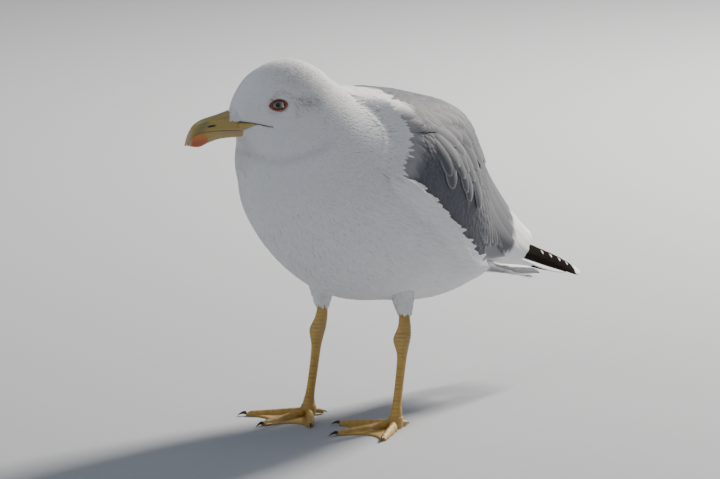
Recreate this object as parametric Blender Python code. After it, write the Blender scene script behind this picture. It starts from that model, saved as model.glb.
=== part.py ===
"""A life-size standing yellow-legged gull, as a still museum model.

The bird faces -Y, with +X to its own left and +Z up, and stands on z = 0. Lengths are in metres.
Flesh and plumage are lofts of tilted rings, parted by thin cuts. A ring is given by the point where
it meets the underside, the point where it meets the back, and its half-width.
"""

import math

import bmesh
import bpy
import mathutils
import numpy as np

MM = 0.001
GAP = 0.35 * MM  # clear space between neighbouring solids

# Body rings, in mm, from the face to the root of the tail:
# underside y, z, back y, z, half-width, share of the ring's height at which it is widest.
BODY_RINGS = (
    (-134, 250, -138, 268, 8.5, 0.50),
    (-131, 247, -132, 276, 11, 0.50),
    (-129, 242, -123, 285, 14, 0.50),
    (-126, 236, -110, 294, 17.5, 0.50),
    (-122, 229, -93, 300.5, 21, 0.50),
    (-118, 220, -74, 301, 25, 0.48),
    (-115, 210, -55, 295, 31, 0.46),
    (-112, 198, -39, 284, 40, 0.45),
    (-108, 183, -22, 275, 51, 0.46),
    (-97, 164, 6, 269, 62, 0.48),
    (-76, 140, 34, 258, 69, 0.50),
    (-47, 118, 56, 236, 71, 0.50),
    (-14, 102, 70, 207, 70, 0.48),
    (22, 96, 82, 180, 66, 0.46),
    (60, 91, 98, 157, 60, 0.45),
    (98, 92, 118, 139, 50, 0.46),
    (126, 95, 141, 125, 38, 0.52),
    (146, 97, 160, 115, 26, 0.50),
)
HEAD_END = 5.5  # ring number of the cut between head and neck
NECK_END = 8.0  # ring number of the cut between neck and trunk
TRUNK_END = 17.0
AROUND = 28  # points round a body ring

HEAD_TURN = math.radians(-12)  # the head looks a little to the bird's right
TURN_PIVOT = (0.0, -79.0)  # x, y of the upright axis that the head turns about
TURN_STARTS, TURN_ENDS = 9.0, 5.0  # ring numbers between which the turn grows

EYE_RADIUS = 7.5
EYE_PLACE = (14.3, -104.0, 268.8)  # left eye's centre before the head turns

# Bill stations in mm from the feathered face to the tip: distance, ridge z, mouth z, keel z, half-width.
BILL_ROOT_Y = -128.0
BILL = (
    (0, 267.5, 257.0, 248.5, 8.0),
    (12, 267.5, 256.5, 248.0, 7.6),
    (24, 266.0, 255.5, 246.5, 6.6),
    (34, 263.5, 254.0, 244.5, 5.6),
    (42, 260.0, 251.5, 242.0, 4.9),
    (49, 254.5, 248.0, 242.5, 3.9),
    (54, 248.0, 244.5, 242.6, 2.4),
    (57, 243.5, 240.5, 0.0, 1.2),
)
LOWER_BILL_STATIONS = 7  # the hooked tip is the upper bill's alone

# Folded left wing, in mm: for each station from the bend to the last tertial,
# the points on its upper edge, on its shoulder, on its side and on its lower edge.
WING = (
    ((18, -36, 272), (46, -14, 260), (64, -12, 234), (71, -33, 211)),
    ((9, 0, 271), (48, 12, 259), (73, 6, 229), (77, -10, 193)),
    ((5, 38, 266), (48, 42, 253), (77, 34, 213), (75, 18, 171)),
    ((3, 76, 256), (46, 82, 244), (74, 62, 192), (70, 50, 144)),
    ((3, 110, 236), (42, 108, 223), (66, 92, 166), (60, 84, 122)),
    ((3, 145, 202), (38, 137, 187), (54, 124, 145), (48, 119, 114)),
    ((3, 184, 163), (31, 181, 149), (42, 166, 126), (39, 155, 112)),
    ((3, 219, 127), (22, 224, 117), (29, 212, 109), (29, 204, 103)),
)
WING_THICKNESS = (6.0, 2.4)  # at the bend and at the tertials
WING_EDGE = 1.2
WING_GRID = (19, 9)

# Folded left primaries, in mm: centre line x, y, z, half-width and half-thickness.
PRIMARIES = (
    (31, 160, 121, 13, 1.6),
    (27, 195, 112, 13, 1.6),
    (21, 230, 102.5, 11.5, 1.5),
    (16.5, 262, 93.5, 8.5, 1.2),
    (12, 290, 84, 4, 0.8),
)
PRIMARY_ROLL = math.radians(50)  # the blades lie against the sloping flank

TAIL_ROOT = (150.0, 106.0)  # y, z
TAIL_TIP = (234.0, 91.0)
TAIL_HALF_WIDTHS = (19.0, 31.0)
TAIL_THICKNESS = (7.0, 1.4)

# Left leg, in mm: height z, then x, y, half-width across, half-length fore and aft.
LEG = (
    (99, 36, 19.5, 4.4, 4.9),
    (87, 37, 19, 4.3, 4.8),
    (79, 38, 18, 4.8, 5.8),
    (71, 39, 15.5, 5.4, 6.8),
    (63, 39.5, 13.5, 4.6, 6.0),
    (54, 40, 12, 3.5, 4.7),
    (36, 40.7, 8, 3.2, 4.3),
    (20, 41.5, 4, 3.4, 4.3),
    (13, 42, 2.4, 4.4, 4.9),
    (8.5, 42, 1.5, 5.6, 5.6),
)
THIGH = (
    (126, 35, 15, 13, 18),
    (114, 35.5, 16, 11, 14.5),
    (105, 36, 17.5, 9, 10.5),
    (97, 36.5, 18.5, 7.6, 8.4),
    (91.5, 37, 19, 6.3, 6.6),
)
RIGHT_LEG_SHIFT = -5.0  # how far the right leg stands ahead of the left, in y
RIGHT_LEG_LEAN = -0.075  # and how much further for each mm of height
LEG_AROUND = 12

# Foot, in mm and degrees. Angles are from the foot's own axis, positive towards the midline.
FOOT_CENTRE = (42.0, 1.5)
FOOT_TURN = {1: 18.0, -1: -6.0}  # both feet point a little to the bird's right
TOES = {"outer": (-44.0, 51.0), "middle": (2.0, 55.0), "inner": (46.0, 46.0)}
HIND_TOE = (165.0, 12.5)
WEB_THICKNESS = 1.3
WEB_CURVE = 0.72  # how far out the web's front edge lies between the toes
WEB_TRACKS = 3
TOE_HEIGHT = (6.8, 3.8)  # at the root and at the tip
TOE_HALF_WIDTH = (3.7, 2.5)
TOE_SECTION = ((-1.0, 0.0), (-0.7, 0.72), (0.0, 1.0), (0.7, 0.72), (1.0, 0.0))
FOOT_STEPS = 8
CLAW_LENGTH = {"outer": 6.5, "middle": 7.5, "inner": 6.5, "hind": 4.5}

COLOURS = {
    "white_plumage": ((0.86, 0.86, 0.87), 0.75),
    "grey_plumage": ((0.36, 0.38, 0.42), 0.7),
    "black_plumage": ((0.035, 0.03, 0.03), 0.55),
    "bill_yellow": ((0.72, 0.47, 0.10), 0.35),
    "eye": ((0.80, 0.72, 0.42), 0.08),
    "leg_yellow": ((0.74, 0.46, 0.07), 0.5),
    "claw": ((0.04, 0.035, 0.03), 0.4),
}


def clear_scene():
    for obj in list(bpy.data.objects):
        bpy.data.objects.remove(obj, do_unlink=True)


def make_materials():
    for name, (colour, roughness) in COLOURS.items():
        material = bpy.data.materials.new(name)
        material.use_nodes = True
        shader = material.node_tree.nodes["Principled BSDF"]
        shader.inputs["Base Color"].default_value = (*colour, 1)
        shader.inputs["Roughness"].default_value = roughness


def add_mesh(name, points, faces, collection, material):
    """An object from points in mm and faces, with its outside facing out."""
    mesh = bpy.data.meshes.new(name)
    mesh.from_pydata([tuple(p) for p in np.asarray(points) * MM], [], faces)
    work = bmesh.new()
    work.from_mesh(mesh)
    bmesh.ops.recalc_face_normals(work, faces=work.faces)
    work.to_mesh(mesh)
    work.free()
    mesh.materials.append(bpy.data.materials[material])
    mesh.shade_smooth()
    mesh.set_sharp_from_angle(angle=math.radians(40))
    obj = bpy.data.objects.new(name, mesh)
    collection.objects.link(obj)
    return obj


def read_smoothly(table, at):
    """The table's row at a fractional row number, on a Catmull-Rom curve through its rows."""
    rows = np.asarray(table, float)
    last = len(rows) - 1
    index = min(int(at), last - 1)
    t = at - index
    before, here = rows[max(index - 1, 0)], rows[index]
    there, after = rows[index + 1], rows[min(index + 2, last)]
    return 0.5 * (
        2 * here
        + (there - before) * t
        + (2 * before - 5 * here + 4 * there - after) * t**2
        + (3 * here - before - 3 * there + after) * t**3
    )


def smooth_step(value):
    value = min(max(value, 0.0), 1.0)
    return value * value * (3 - 2 * value)


def turned(points, angle, pivot=TURN_PIVOT):
    """Points turned about an upright axis through the pivot."""
    c, s = math.cos(angle), math.sin(angle)
    x, y = points[:, 0] - pivot[0], points[:, 1] - pivot[1]
    return np.stack([pivot[0] + c * x - s * y, pivot[1] + s * x + c * y, points[:, 2]], axis=1)


def body_ring(at, slide=0.0):
    """The body's ring at a fractional ring number, slid back by a distance square to itself."""
    y0, z0, y1, z1, half_width, widest = read_smoothly(BODY_RINGS, at)
    low, high = np.array([0, y0, z0]), np.array([0, y1, z1])
    rise = high - low
    middle = low + widest * rise
    angles = np.linspace(0, 2 * math.pi, AROUND, endpoint=False)
    up = np.cos(angles) * np.where(np.cos(angles) > 0, 1 - widest, widest)
    points = middle + np.outer(up, rise)
    points[:, 0] += half_width * np.sin(angles)
    backwards = np.array([0, rise[2], -rise[1]]) / np.linalg.norm(rise)
    points += slide * backwards
    share = smooth_step((TURN_STARTS - at) / (TURN_STARTS - TURN_ENDS))
    return turned(points, HEAD_TURN * share)


def loft(name, rings, collection, material):
    """A closed solid through rings with the same number of points, capped flat at both ends."""
    count = len(rings[0])
    faces = [tuple(range(count)), tuple(range((len(rings) - 1) * count, len(rings) * count))]
    for i in range(len(rings) - 1):
        for j in range(count):
            k = (j + 1) % count
            faces.append((i * count + j, i * count + k, (i + 1) * count + k, (i + 1) * count + j))
    return add_mesh(name, np.concatenate(rings), faces, collection, material)


def body_part(name, start, end, steps, collection):
    """A length of the body between two ring numbers, short of each cut by half a gap."""
    half_gap = GAP / MM / 2
    slides = [half_gap] + [0.0] * (steps - 1) + [-half_gap]
    rings = [body_ring(at, slide) for at, slide in zip(np.linspace(start, end, steps + 1), slides)]
    return loft(name, rings, collection, "white_plumage")


def double_sheet(name, outer, inner, collection, material):
    """A closed solid between two sheets, each a grid of points of the same size."""
    rows, columns = outer.shape[:2]
    sheet = rows * columns
    faces = []
    for i in range(rows - 1):
        for j in range(columns - 1):
            a, b, c, d = (r * columns + k for r, k in ((i, j), (i, j + 1), (i + 1, j + 1), (i + 1, j)))
            faces += [(a, b, c, d), (sheet + d, sheet + c, sheet + b, sheet + a)]
    edge = [j for j in range(columns)]
    edge += [i * columns + columns - 1 for i in range(1, rows)]
    edge += [(rows - 1) * columns + j for j in range(columns - 2, -1, -1)]
    edge += [i * columns for i in range(rows - 2, 0, -1)]
    for a, b in zip(edge, edge[1:] + edge[:1]):
        faces.append((a, b, sheet + b, sheet + a))
    points = np.concatenate([outer.reshape(-1, 3), inner.reshape(-1, 3)])
    return add_mesh(name, points, faces, collection, material)


def mirrored(points, side):
    """Points of the left side, or their mirror image for the right side."""
    return points * np.array([side, 1, 1])


def wing_surface(u, v):
    """A point of the left wing's outer face. u runs from bend to tertials and v from upper to lower edge."""
    line = read_smoothly(WING, u * (len(WING) - 1))
    return read_smoothly(line, v * (len(line) - 1))


def wing(name, side, collection, margin=0.0):
    """A folded wing: thick in the middle and thin at its edges. A cutter for it adds a margin all round."""
    rows, columns = WING_GRID
    us, vs = np.linspace(0, 1, rows), np.linspace(0, 1, columns)
    face = np.array([[wing_surface(u, v) for v in vs] for u in us])
    along, across = np.gradient(face, axis=0), np.gradient(face, axis=1)
    normal = np.cross(across, along)
    normal /= np.linalg.norm(normal, axis=2, keepdims=True)
    round_u = 1 - np.abs(2 * us - 1) ** 6
    round_v = 1 - np.abs(2 * vs - 1) ** 4
    full = WING_THICKNESS[0] + (WING_THICKNESS[1] - WING_THICKNESS[0]) * us[:, None]
    thickness = WING_EDGE + (full - WING_EDGE) * np.outer(round_u, round_v) ** 0.6
    outer = face + margin * normal
    inner = face - (thickness[:, :, None] + margin) * normal
    if margin:
        for sheet in (outer, inner):
            widen(sheet, margin)
    return double_sheet(
        name, mirrored(outer, side), mirrored(inner, side), collection, "grey_plumage"
    )


def widen(sheet, margin):
    """Moves the four edges of a sheet outwards by a margin, in its own surface."""
    for edge, inside in ((0, 1), (-1, -2)):
        out = sheet[edge] - sheet[inside]
        sheet[edge] += margin * out / np.linalg.norm(out, axis=1, keepdims=True)
    for edge, inside in ((0, 1), (-1, -2)):
        out = sheet[:, edge] - sheet[:, inside]
        sheet[:, edge] += margin * out / np.linalg.norm(out, axis=1, keepdims=True)


def primaries(name, side, collection, margin=0.0):
    """The long blades of a folded wing beyond its tertials, as one thin tapered solid."""
    angles = np.linspace(0, 2 * math.pi, 12, endpoint=False)
    across = np.array([math.cos(PRIMARY_ROLL), 0, -math.sin(PRIMARY_ROLL)])
    through = np.array([math.sin(PRIMARY_ROLL), 0, math.cos(PRIMARY_ROLL)])
    rings = []
    for at in np.linspace(0, len(PRIMARIES) - 1, 11):
        x, y, z, wide, thick = read_smoothly(PRIMARIES, at)
        ring = np.array([x, y, z]) + np.outer(np.cos(angles) * (wide + margin), across)
        ring += np.outer(np.sin(angles) * (thick + margin), through)
        rings.append(mirrored(ring, side))
    return loft(name, rings, collection, "black_plumage")


def tail(name, collection, margin=0.0):
    """The closed tail: a thin fan with a lens section and a slightly rounded end."""
    rows, columns = 9, 13
    across = np.linspace(-1, 1, columns)
    outer, inner = np.zeros((rows, columns, 3)), np.zeros((rows, columns, 3))
    for i, t in enumerate(np.linspace(0, 1, rows)):
        half = TAIL_HALF_WIDTHS[0] + (TAIL_HALF_WIDTHS[1] - TAIL_HALF_WIDTHS[0]) * t + margin
        thick = TAIL_THICKNESS[0] + (TAIL_THICKNESS[1] - TAIL_THICKNESS[0]) * t
        y = TAIL_ROOT[0] + (TAIL_TIP[0] - TAIL_ROOT[0]) * t - 12.0 * t * across**2
        z = TAIL_ROOT[1] + (TAIL_TIP[1] - TAIL_ROOT[1]) * t - 5.5 * t * across**2
        half_thick = 0.4 + (thick / 2 - 0.4) * np.sqrt(1 - across**4) + margin
        for sheet, sign in ((outer, 1), (inner, -1)):
            sheet[i] = np.stack([half * across, y, z + sign * half_thick], axis=1)
    return double_sheet(name, outer, inner, collection, "white_plumage")


def bill_half(name, collection, upper, margin=0.0):
    """One half of the bill. Its rings are half ovals, flat along the mouth."""
    stations = BILL if upper else BILL[:LOWER_BILL_STATIONS]
    angles = np.linspace(0, math.pi, 9)
    rings = []
    for at in np.linspace(0, len(stations) - 1, 15):
        distance, ridge, mouth, keel, half = read_smoothly(stations, at)
        sign = 1 if upper else -1
        flat = mouth + sign * (GAP / MM / 2 - margin)
        rise = abs((ridge if upper else keel) - flat) + margin
        wide = (half if upper else 0.9 * half) + margin
        arch = np.stack(
            [
                wide * np.cos(angles),
                np.full(len(angles), BILL_ROOT_Y - distance),
                flat + sign * np.sin(angles) ** 0.85 * rise,
            ],
            axis=1,
        )
        rings.append(turned(arch, HEAD_TURN))
    return loft(name, rings, collection, "bill_yellow")


def eye(name, side, collection, margin=0.0):
    """An eyeball, whose outer third shows in the head."""
    centre = turned(mirrored(np.array([EYE_PLACE]), side), HEAD_TURN)[0]
    work = bmesh.new()
    bmesh.ops.create_uvsphere(work, u_segments=12, v_segments=9, radius=EYE_RADIUS + margin)
    points = np.array([v.co[:] for v in work.verts]) + centre
    faces = [tuple(v.index for v in f.verts) for f in work.faces]
    work.free()
    return add_mesh(name, points, faces, collection, "eye")


def leg_shift(side, height):
    """How far a side's leg stands from the left leg's line, fore and aft."""
    return 0.0 if side > 0 else RIGHT_LEG_SHIFT + RIGHT_LEG_LEAN * height


def leg_loft(name, table, side, collection, material, steps, margin=0.0):
    """A leg or thigh: level oval rings down a gently sloping line."""
    angles = np.linspace(0, 2 * math.pi, LEG_AROUND, endpoint=False)
    rings = []
    for at in np.linspace(0, len(table) - 1, steps + 1):
        z, x, y, across, fore = read_smoothly(table, at)
        ring = np.stack(
            [
                x + (across + margin) * np.cos(angles),
                y + leg_shift(side, z) + (fore + margin) * np.sin(angles),
                np.full(LEG_AROUND, z),
            ],
            axis=1,
        )
        rings.append(mirrored(ring, side))
    if margin:
        rings[0][:, 2] += margin
        rings[-1][:, 2] -= margin
    return loft(name, rings, collection, material)


def foot_axes(side, angle):
    """The foot's centre on the ground, and the unit vectors along a toe and across it, for the left side's frame."""
    turn = math.radians(angle + FOOT_TURN[side])
    centre = np.array([FOOT_CENTRE[0], FOOT_CENTRE[1] + leg_shift(side, 0.0), 0.0])
    ahead = np.array([-math.sin(turn), -math.cos(turn), 0.0])
    across = np.array([-math.cos(turn), math.sin(turn), 0.0])
    return centre, ahead, across


def toe_tracks(side, toe):
    """A toe's top as five lines of points from the foot's centre outwards."""
    angle, length = TOES[toe]
    centre, ahead, across = foot_axes(side, angle)
    reach = np.linspace(5.0, length, FOOT_STEPS)
    share = (reach - 5.0) / (length - 5.0)
    half = np.minimum(TOE_HALF_WIDTH[0] + (TOE_HALF_WIDTH[1] - TOE_HALF_WIDTH[0]) * share, 0.36 * reach)
    tall = TOE_HEIGHT[0] + (TOE_HEIGHT[1] - TOE_HEIGHT[0]) * share
    tracks = []
    for offset, height in TOE_SECTION:
        track = centre + np.outer(reach, ahead) + np.outer(half * offset, across)
        track[:, 2] = WEB_THICKNESS + (tall - WEB_THICKNESS) * height
        track[-1] -= (1.6 if abs(offset) > 0.9 else 0.4 if offset else 0.0) * ahead
        tracks.append(track)
    return tracks


def web_tracks(first, second):
    """The web between two toes' facing lines: thin, with its front edge hollowed."""
    tracks = []
    for t in np.linspace(0, 1, WEB_TRACKS + 2)[1:-1]:
        hollow = 1 - (1 - WEB_CURVE) * (4 * t * (1 - t)) ** 0.6
        straight = first * (1 - t) + second * t
        track = straight[0] + (straight - straight[0]) * hollow
        track[:, 2] = WEB_THICKNESS
        tracks.append(track)
    return tracks


def foot(name, side, collection):
    """A webbed foot as one solid on flat soles: ridged toes, thin webs and a short hind toe."""
    outer, middle, inner = (toe_tracks(side, toe) for toe in TOES)
    tracks = outer + web_tracks(outer[-1], middle[0]) + middle + web_tracks(middle[-1], inner[0]) + inner
    top = np.array(tracks)
    sole = top * np.array([1, 1, 0])
    web = double_sheet(name, mirrored(top, side), mirrored(sole, side), collection, "leg_yellow")
    x, y = FOOT_CENTRE
    hub_rings = ((8.5 - GAP / MM, x, y, 5.6, 5.7), (4.5, x, y - 1, 6.3, 7.0), (0.5, x, y - 1, 5.8, 6.5))
    hub = leg_loft(name + "_hub", hub_rings, side, cutters(), "leg_yellow", 4)
    hind = hind_toe(name + "_hind_toe", side)
    for piece in (hub, hind):
        boolean(web, piece, "UNION")
    return web


def hind_toe(name, side):
    """The small hind toe, low behind the leg, with its tip on the ground."""
    angle, length = HIND_TOE
    centre, ahead, across = foot_axes(side, angle)
    around = np.linspace(0, 2 * math.pi, 8, endpoint=False)
    rings = []
    for t in np.linspace(0, 1, 5):
        half = 2.6 - 0.7 * t
        middle = centre + ahead * (2.0 + (length - 2.0) * t)
        middle[2] = 4.4 - 2.4 * t
        ring = middle + np.outer(np.cos(around) * half, across)
        ring[:, 2] = np.maximum(ring[:, 2] + np.sin(around) * half, 0.2 * (1 - t))
        rings.append(mirrored(ring, side))
    return loft(name, rings, cutters(), "leg_yellow")


def claw(name, side, toe, collection):
    """A small curved claw, ahead of a toe's tip by a gap, its point at the ground."""
    angle, length = HIND_TOE if toe == "hind" else TOES[toe]
    centre, ahead, across = foot_axes(side, angle)
    start = centre + (length + GAP / MM) * ahead
    thick = 1.1 if toe == "hind" else 1.5
    around = np.linspace(0, 2 * math.pi, 8, endpoint=False)
    rings = []
    for t in np.linspace(0, 1, 5):
        size = thick * (1 - 0.82 * t)
        middle = start + ahead * CLAW_LENGTH[toe] * t
        middle[2] = size + 0.9 * math.sin(math.pi * t) + 0.5 * (1 - t)
        ring = middle + np.outer(np.cos(around) * size * 0.8, across)
        ring[:, 2] += np.sin(around) * size
        rings.append(mirrored(ring, side))
    return loft(name, rings, collection, "claw")


def cutters():
    return bpy.data.collections["cutters"]


def boolean(target, tool, operation):
    modifier = target.modifiers.new(tool.name, "BOOLEAN")
    modifier.operation = operation
    modifier.solver = "EXACT"
    modifier.object = tool
    tool.hide_render = True
    tool.display_type = "WIRE"


def centre_on_origin(gull):
    """Moves everything level, so that the gull's bounding box stands centred over the origin."""
    corners = np.array([v.co[:] for obj in gull.objects for v in obj.data.vertices])
    middle = (corners.min(axis=0) + corners.max(axis=0)) / 2
    for obj in bpy.data.objects:
        obj.data.transform(mathutils.Matrix.Translation((-middle[0], -middle[1], 0)))


def build():
    clear_scene()
    make_materials()
    gull = bpy.data.collections.new("gull")
    tools = bpy.data.collections.new("cutters")
    for collection in (gull, tools):
        bpy.context.scene.collection.children.link(collection)
    gap = GAP / MM

    head = body_part("head", 0, HEAD_END, 12, gull)
    body_part("neck", HEAD_END, NECK_END, 6, gull)
    trunk = body_part("trunk", NECK_END, TRUNK_END, 18, gull)
    neck = bpy.data.objects["neck"]
    tail("tail", gull)
    boolean(trunk, tail("tail_pocket", tools, gap), "DIFFERENCE")
    for upper, name in ((True, "upper_bill"), (False, "lower_bill")):
        bill_half(name, gull, upper)
        boolean(head, bill_half(name + "_pocket", tools, upper, gap), "DIFFERENCE")
    for side, word in ((1, "left"), (-1, "right")):
        eye(f"{word}_eye", side, gull)
        boolean(head, eye(f"{word}_eye_pocket", side, tools, gap), "DIFFERENCE")
        wing(f"{word}_wing", side, gull)
        pocket = wing(f"{word}_wing_pocket", side, tools, gap)
        for flesh in (trunk, neck):
            boolean(flesh, pocket, "DIFFERENCE")
        primaries(f"{word}_primaries", side, gull)
        blade = primaries(f"{word}_primaries_pocket", side, tools, gap)
        for flesh in (trunk, bpy.data.objects["tail"], bpy.data.objects[f"{word}_wing"]):
            boolean(flesh, blade, "DIFFERENCE")
        thigh = leg_loft(f"{word}_thigh", THIGH, side, gull, "white_plumage", 6)
        boolean(
            trunk,
            leg_loft(f"{word}_thigh_pocket", THIGH, side, tools, "white_plumage", 6, gap),
            "DIFFERENCE",
        )
        leg_loft(f"{word}_leg", LEG, side, gull, "leg_yellow", 14)
        boolean(
            thigh,
            leg_loft(f"{word}_leg_pocket", LEG[:4], side, tools, "leg_yellow", 5, gap),
            "DIFFERENCE",
        )
        foot(f"{word}_foot", side, gull)
        for toe in CLAW_LENGTH:
            claw(f"{word}_{toe}_claw", side, toe, gull)
    centre_on_origin(gull)


build()
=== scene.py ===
"""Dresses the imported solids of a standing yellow-legged gull as a museum model.

The row frame is the solids' own: metres, +Z up, the bird facing -Y with +X to its left.
Shapes are worked out in millimetres in the bird's own frame, whose origin lies between its feet,
and are moved to the row frame when they become meshes.
"""

import logging
import math
from dataclasses import dataclass, field, replace
from enum import Enum
from typing import Callable, Sequence

import bpy
import numpy as np
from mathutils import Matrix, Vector
from mathutils.bvhtree import BVHTree


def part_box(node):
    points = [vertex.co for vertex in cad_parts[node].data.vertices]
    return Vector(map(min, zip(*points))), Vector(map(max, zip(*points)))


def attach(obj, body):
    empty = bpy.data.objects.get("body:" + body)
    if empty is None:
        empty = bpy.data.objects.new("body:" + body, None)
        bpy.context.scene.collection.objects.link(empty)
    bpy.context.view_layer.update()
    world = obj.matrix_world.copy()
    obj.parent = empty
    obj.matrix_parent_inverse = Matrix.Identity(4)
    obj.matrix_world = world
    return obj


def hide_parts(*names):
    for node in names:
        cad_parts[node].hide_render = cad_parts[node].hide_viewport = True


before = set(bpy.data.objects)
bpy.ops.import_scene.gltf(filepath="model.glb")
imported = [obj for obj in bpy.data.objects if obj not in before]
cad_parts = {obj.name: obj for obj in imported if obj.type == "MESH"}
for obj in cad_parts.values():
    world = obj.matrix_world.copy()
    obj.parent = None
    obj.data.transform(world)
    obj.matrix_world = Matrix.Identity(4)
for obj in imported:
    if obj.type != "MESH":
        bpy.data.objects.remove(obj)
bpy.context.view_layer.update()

log = logging.getLogger("gull")
Array = np.ndarray
Piece, Material = bpy.types.Object, bpy.types.Material
Node, NodeTree, Socket = bpy.types.Node, bpy.types.NodeTree, bpy.types.NodeSocket
MM = 0.001
SIDES = {1: "left", -1: "right"}

# Body rings, in mm, from the face to the root of the tail:
# underside y, z, back y, z, half-width, share of the ring's height at which it is widest.
BODY_RINGS = (
    (-133, 246.5, -136, 267, 8.5, 0.50),
    (-129.5, 243, -132.5, 276.5, 11, 0.50),
    (-125.5, 237.5, -125.5, 286, 14, 0.50),
    (-124.5, 230.5, -114.5, 294.5, 17.5, 0.50),
    (-126, 223, -95.5, 301, 21, 0.50),
    (-128, 216, -75, 301, 25, 0.48),
    (-125.5, 206, -56, 293.5, 31, 0.46),
    (-119.5, 194, -40, 282.5, 40, 0.45),
    (-111, 182, -22, 274, 51, 0.46),
    (-98, 164, 6, 269, 62, 0.48),
    (-76, 140, 34, 258, 69, 0.50),
    (-47, 118, 56, 236, 71, 0.50),
    (-14, 102, 70, 207, 70, 0.48),
    (22, 96, 82, 180, 66, 0.46),
    (60, 91, 98, 157, 60, 0.45),
    (98, 95.5, 118, 139, 50, 0.46),
    (126, 99.5, 141, 125, 38, 0.52),
    (146, 101, 160, 115, 26, 0.50),
)
LAST_RING = len(BODY_RINGS) - 1
BODY_GIRTH = 440.0  # mm round the widest rings
HEAD_TURN = math.radians(-12)
TURN_PIVOT = (0.0, -79.0)
TURN_STARTS, TURN_ENDS = 9.0, 5.0

# Folded left wing, in mm, from the bend to the last tertial: upper edge, shoulder, side and lower edge.
WING = (
    ((18, -36, 272), (46, -14, 260), (64, -12, 234), (71, -33, 211)),
    ((9, 0, 271), (48, 12, 259), (73, 6, 229), (77, -10, 193)),
    ((5, 38, 266), (48, 42, 253), (77, 34, 213), (75, 18, 171)),
    ((3, 76, 256), (46, 82, 244), (74, 62, 192), (70, 50, 144)),
    ((3, 110, 236), (42, 108, 223), (66, 92, 166), (60, 84, 122)),
    ((3, 143, 199.5), (37, 135.5, 184.5), (54, 124, 145), (48, 119, 114)),
    ((3, 180.5, 158.5), (30.5, 178.5, 145), (42, 166, 126), (39, 155, 112)),
    ((3, 219, 127), (22, 224, 117), (29, 212, 109), (29, 204, 103)),
)
EYE_PLACE = (15.2, -105.5, 268.5)  # left eye's centre before the head turns
EYE_RADIUS = 7.5
CHEEK_REACH = 11.0  # how far round an eye the cheek is read for its axes

# Bill stations in mm from the feathered face to the tip: distance, ridge z, mouth z, keel z, half-width.
BILL_ROOT_Y = -128.0
BILL = (
    (0, 266.5, 251.4, 244.6, 8.0),
    (12, 266.4, 251.9, 245.2, 7.6),
    (24, 264.3, 252.6, 245.0, 6.6),
    (34, 262.8, 252.9, 243.0, 5.8),
    (42, 261.0, 252.6, 240.9, 5.1),
    (49, 257.6, 250.8, 241.5, 3.9),
    (54, 251.3, 246.2, 242.6, 2.3),
    (56.5, 245.0, 242.8, 241.5, 1.2),
)
LAST_LOWER_STATION = 6  # the hooked tip is the upper bill's alone

# Left leg, in mm: height z, then x, y, half-width across, half-length fore and aft.
LEG = (
    (99, 36, 19.5, 4.4, 4.9),
    (87, 37, 19, 4.3, 4.8),
    (79, 38, 18, 4.8, 5.8),
    (71, 39, 15.5, 5.4, 6.8),
    (63, 39.5, 13.5, 4.6, 6.0),
    (54, 40, 12, 3.5, 4.7),
    (36, 40.7, 8, 3.2, 4.3),
    (20, 41.5, 4, 3.4, 4.3),
    (13, 42, 2.4, 4.4, 4.9),
    (6, 42, 1.0, 5.8, 6.2),
)
THIGH = (
    (126, 35, 15, 13, 18),
    (114, 35.5, 16, 11, 14.5),
    (105, 36, 17.5, 9, 10.5),
    (97, 36.5, 18.5, 7.6, 8.4),
    (91.5, 37, 19, 6.3, 6.6),
)
RIGHT_LEG_SHIFT, RIGHT_LEG_LEAN = -5.0, -0.075
FOOT_CENTRE = (42.0, 1.5)
FOOT_TURN = {1: 18.0, -1: -6.0}
ANKLE_KNOB = {1: (2.3, 218.0), -1: (1.3, 322.0)}  # mm out, and the heading in degrees
FLOOR_LEVEL = -0.29  # the floor in the bird's own frame
TOES = {"outer": (-44.0, 51.0), "middle": (2.0, 55.0), "inner": (46.0, 46.0)}
HIND_TOE = (165.0, 12.5)
CLAW_LENGTH = {"outer": 6.5, "middle": 7.5, "inner": 6.5, "hind": 4.5}

WHITE = np.array((0.84, 0.845, 0.86))
GREY = np.array((0.125, 0.132, 0.152))
BLACK = np.array((0.016, 0.013, 0.011))
# grey-brown of the winter streaks, also the colour of the painted shade under the cheek
STREAK_AND_SHADE = np.array((0.25, 0.235, 0.225))


# ---------------------------------------------------------------- curves and sheets


def read_smoothly(table: Sequence, at: Array) -> Array:
    """Reads a table at fractional row numbers, on a Catmull-Rom curve through its rows.

    Args:
        table: rows of numbers or of points.
        at: row numbers, of any shape.

    Returns:
        An array of the shape of `at` followed by the shape of a row.
    """
    rows = np.asarray(table, float)
    last = len(rows) - 1
    at = np.asarray(at, float)
    index = np.clip(at.astype(int), 0, last - 1)
    t = (at - index).reshape(at.shape + (1,) * (rows.ndim - 1))
    before, here = rows[np.maximum(index - 1, 0)], rows[index]
    there, after = rows[index + 1], rows[np.minimum(index + 2, last)]
    return 0.5 * (
        2 * here
        + (there - before) * t
        + (2 * before - 5 * here + 4 * there - after) * t**2
        + (3 * here - before - 3 * there + after) * t**3
    )


def drawn(table: Sequence, count: int) -> Array:
    """A table read at evenly spaced places from its first row to its last."""
    return read_smoothly(table, np.linspace(0, len(table) - 1, count))


def column(low: float, high: float, count: int) -> Array:
    """Evenly spaced numbers as a grid's one column."""
    return np.linspace(low, high, count)[:, None]


def angles(count: int) -> Array:
    """Angles once round a ring, as a grid's one row."""
    return np.linspace(0, 2 * math.pi, count, endpoint=False)[None, :]


def hump(*shares: Array) -> Array:
    """A soft hump, e^-(a^2 + b^2 + ...), of distances given in parts of its widths."""
    return np.exp(-sum(np.square(share) for share in shares))


def smooth_step(value: Array, low: float = 0.0, high: float = 1.0) -> Array:
    """A smooth rise from 0 at `low` to 1 at `high`, 3t^2 - 2t^3 between them."""
    t = np.clip((np.asarray(value, float) - low) / (high - low), 0, 1)
    return t * t * (3 - 2 * t)


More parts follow.
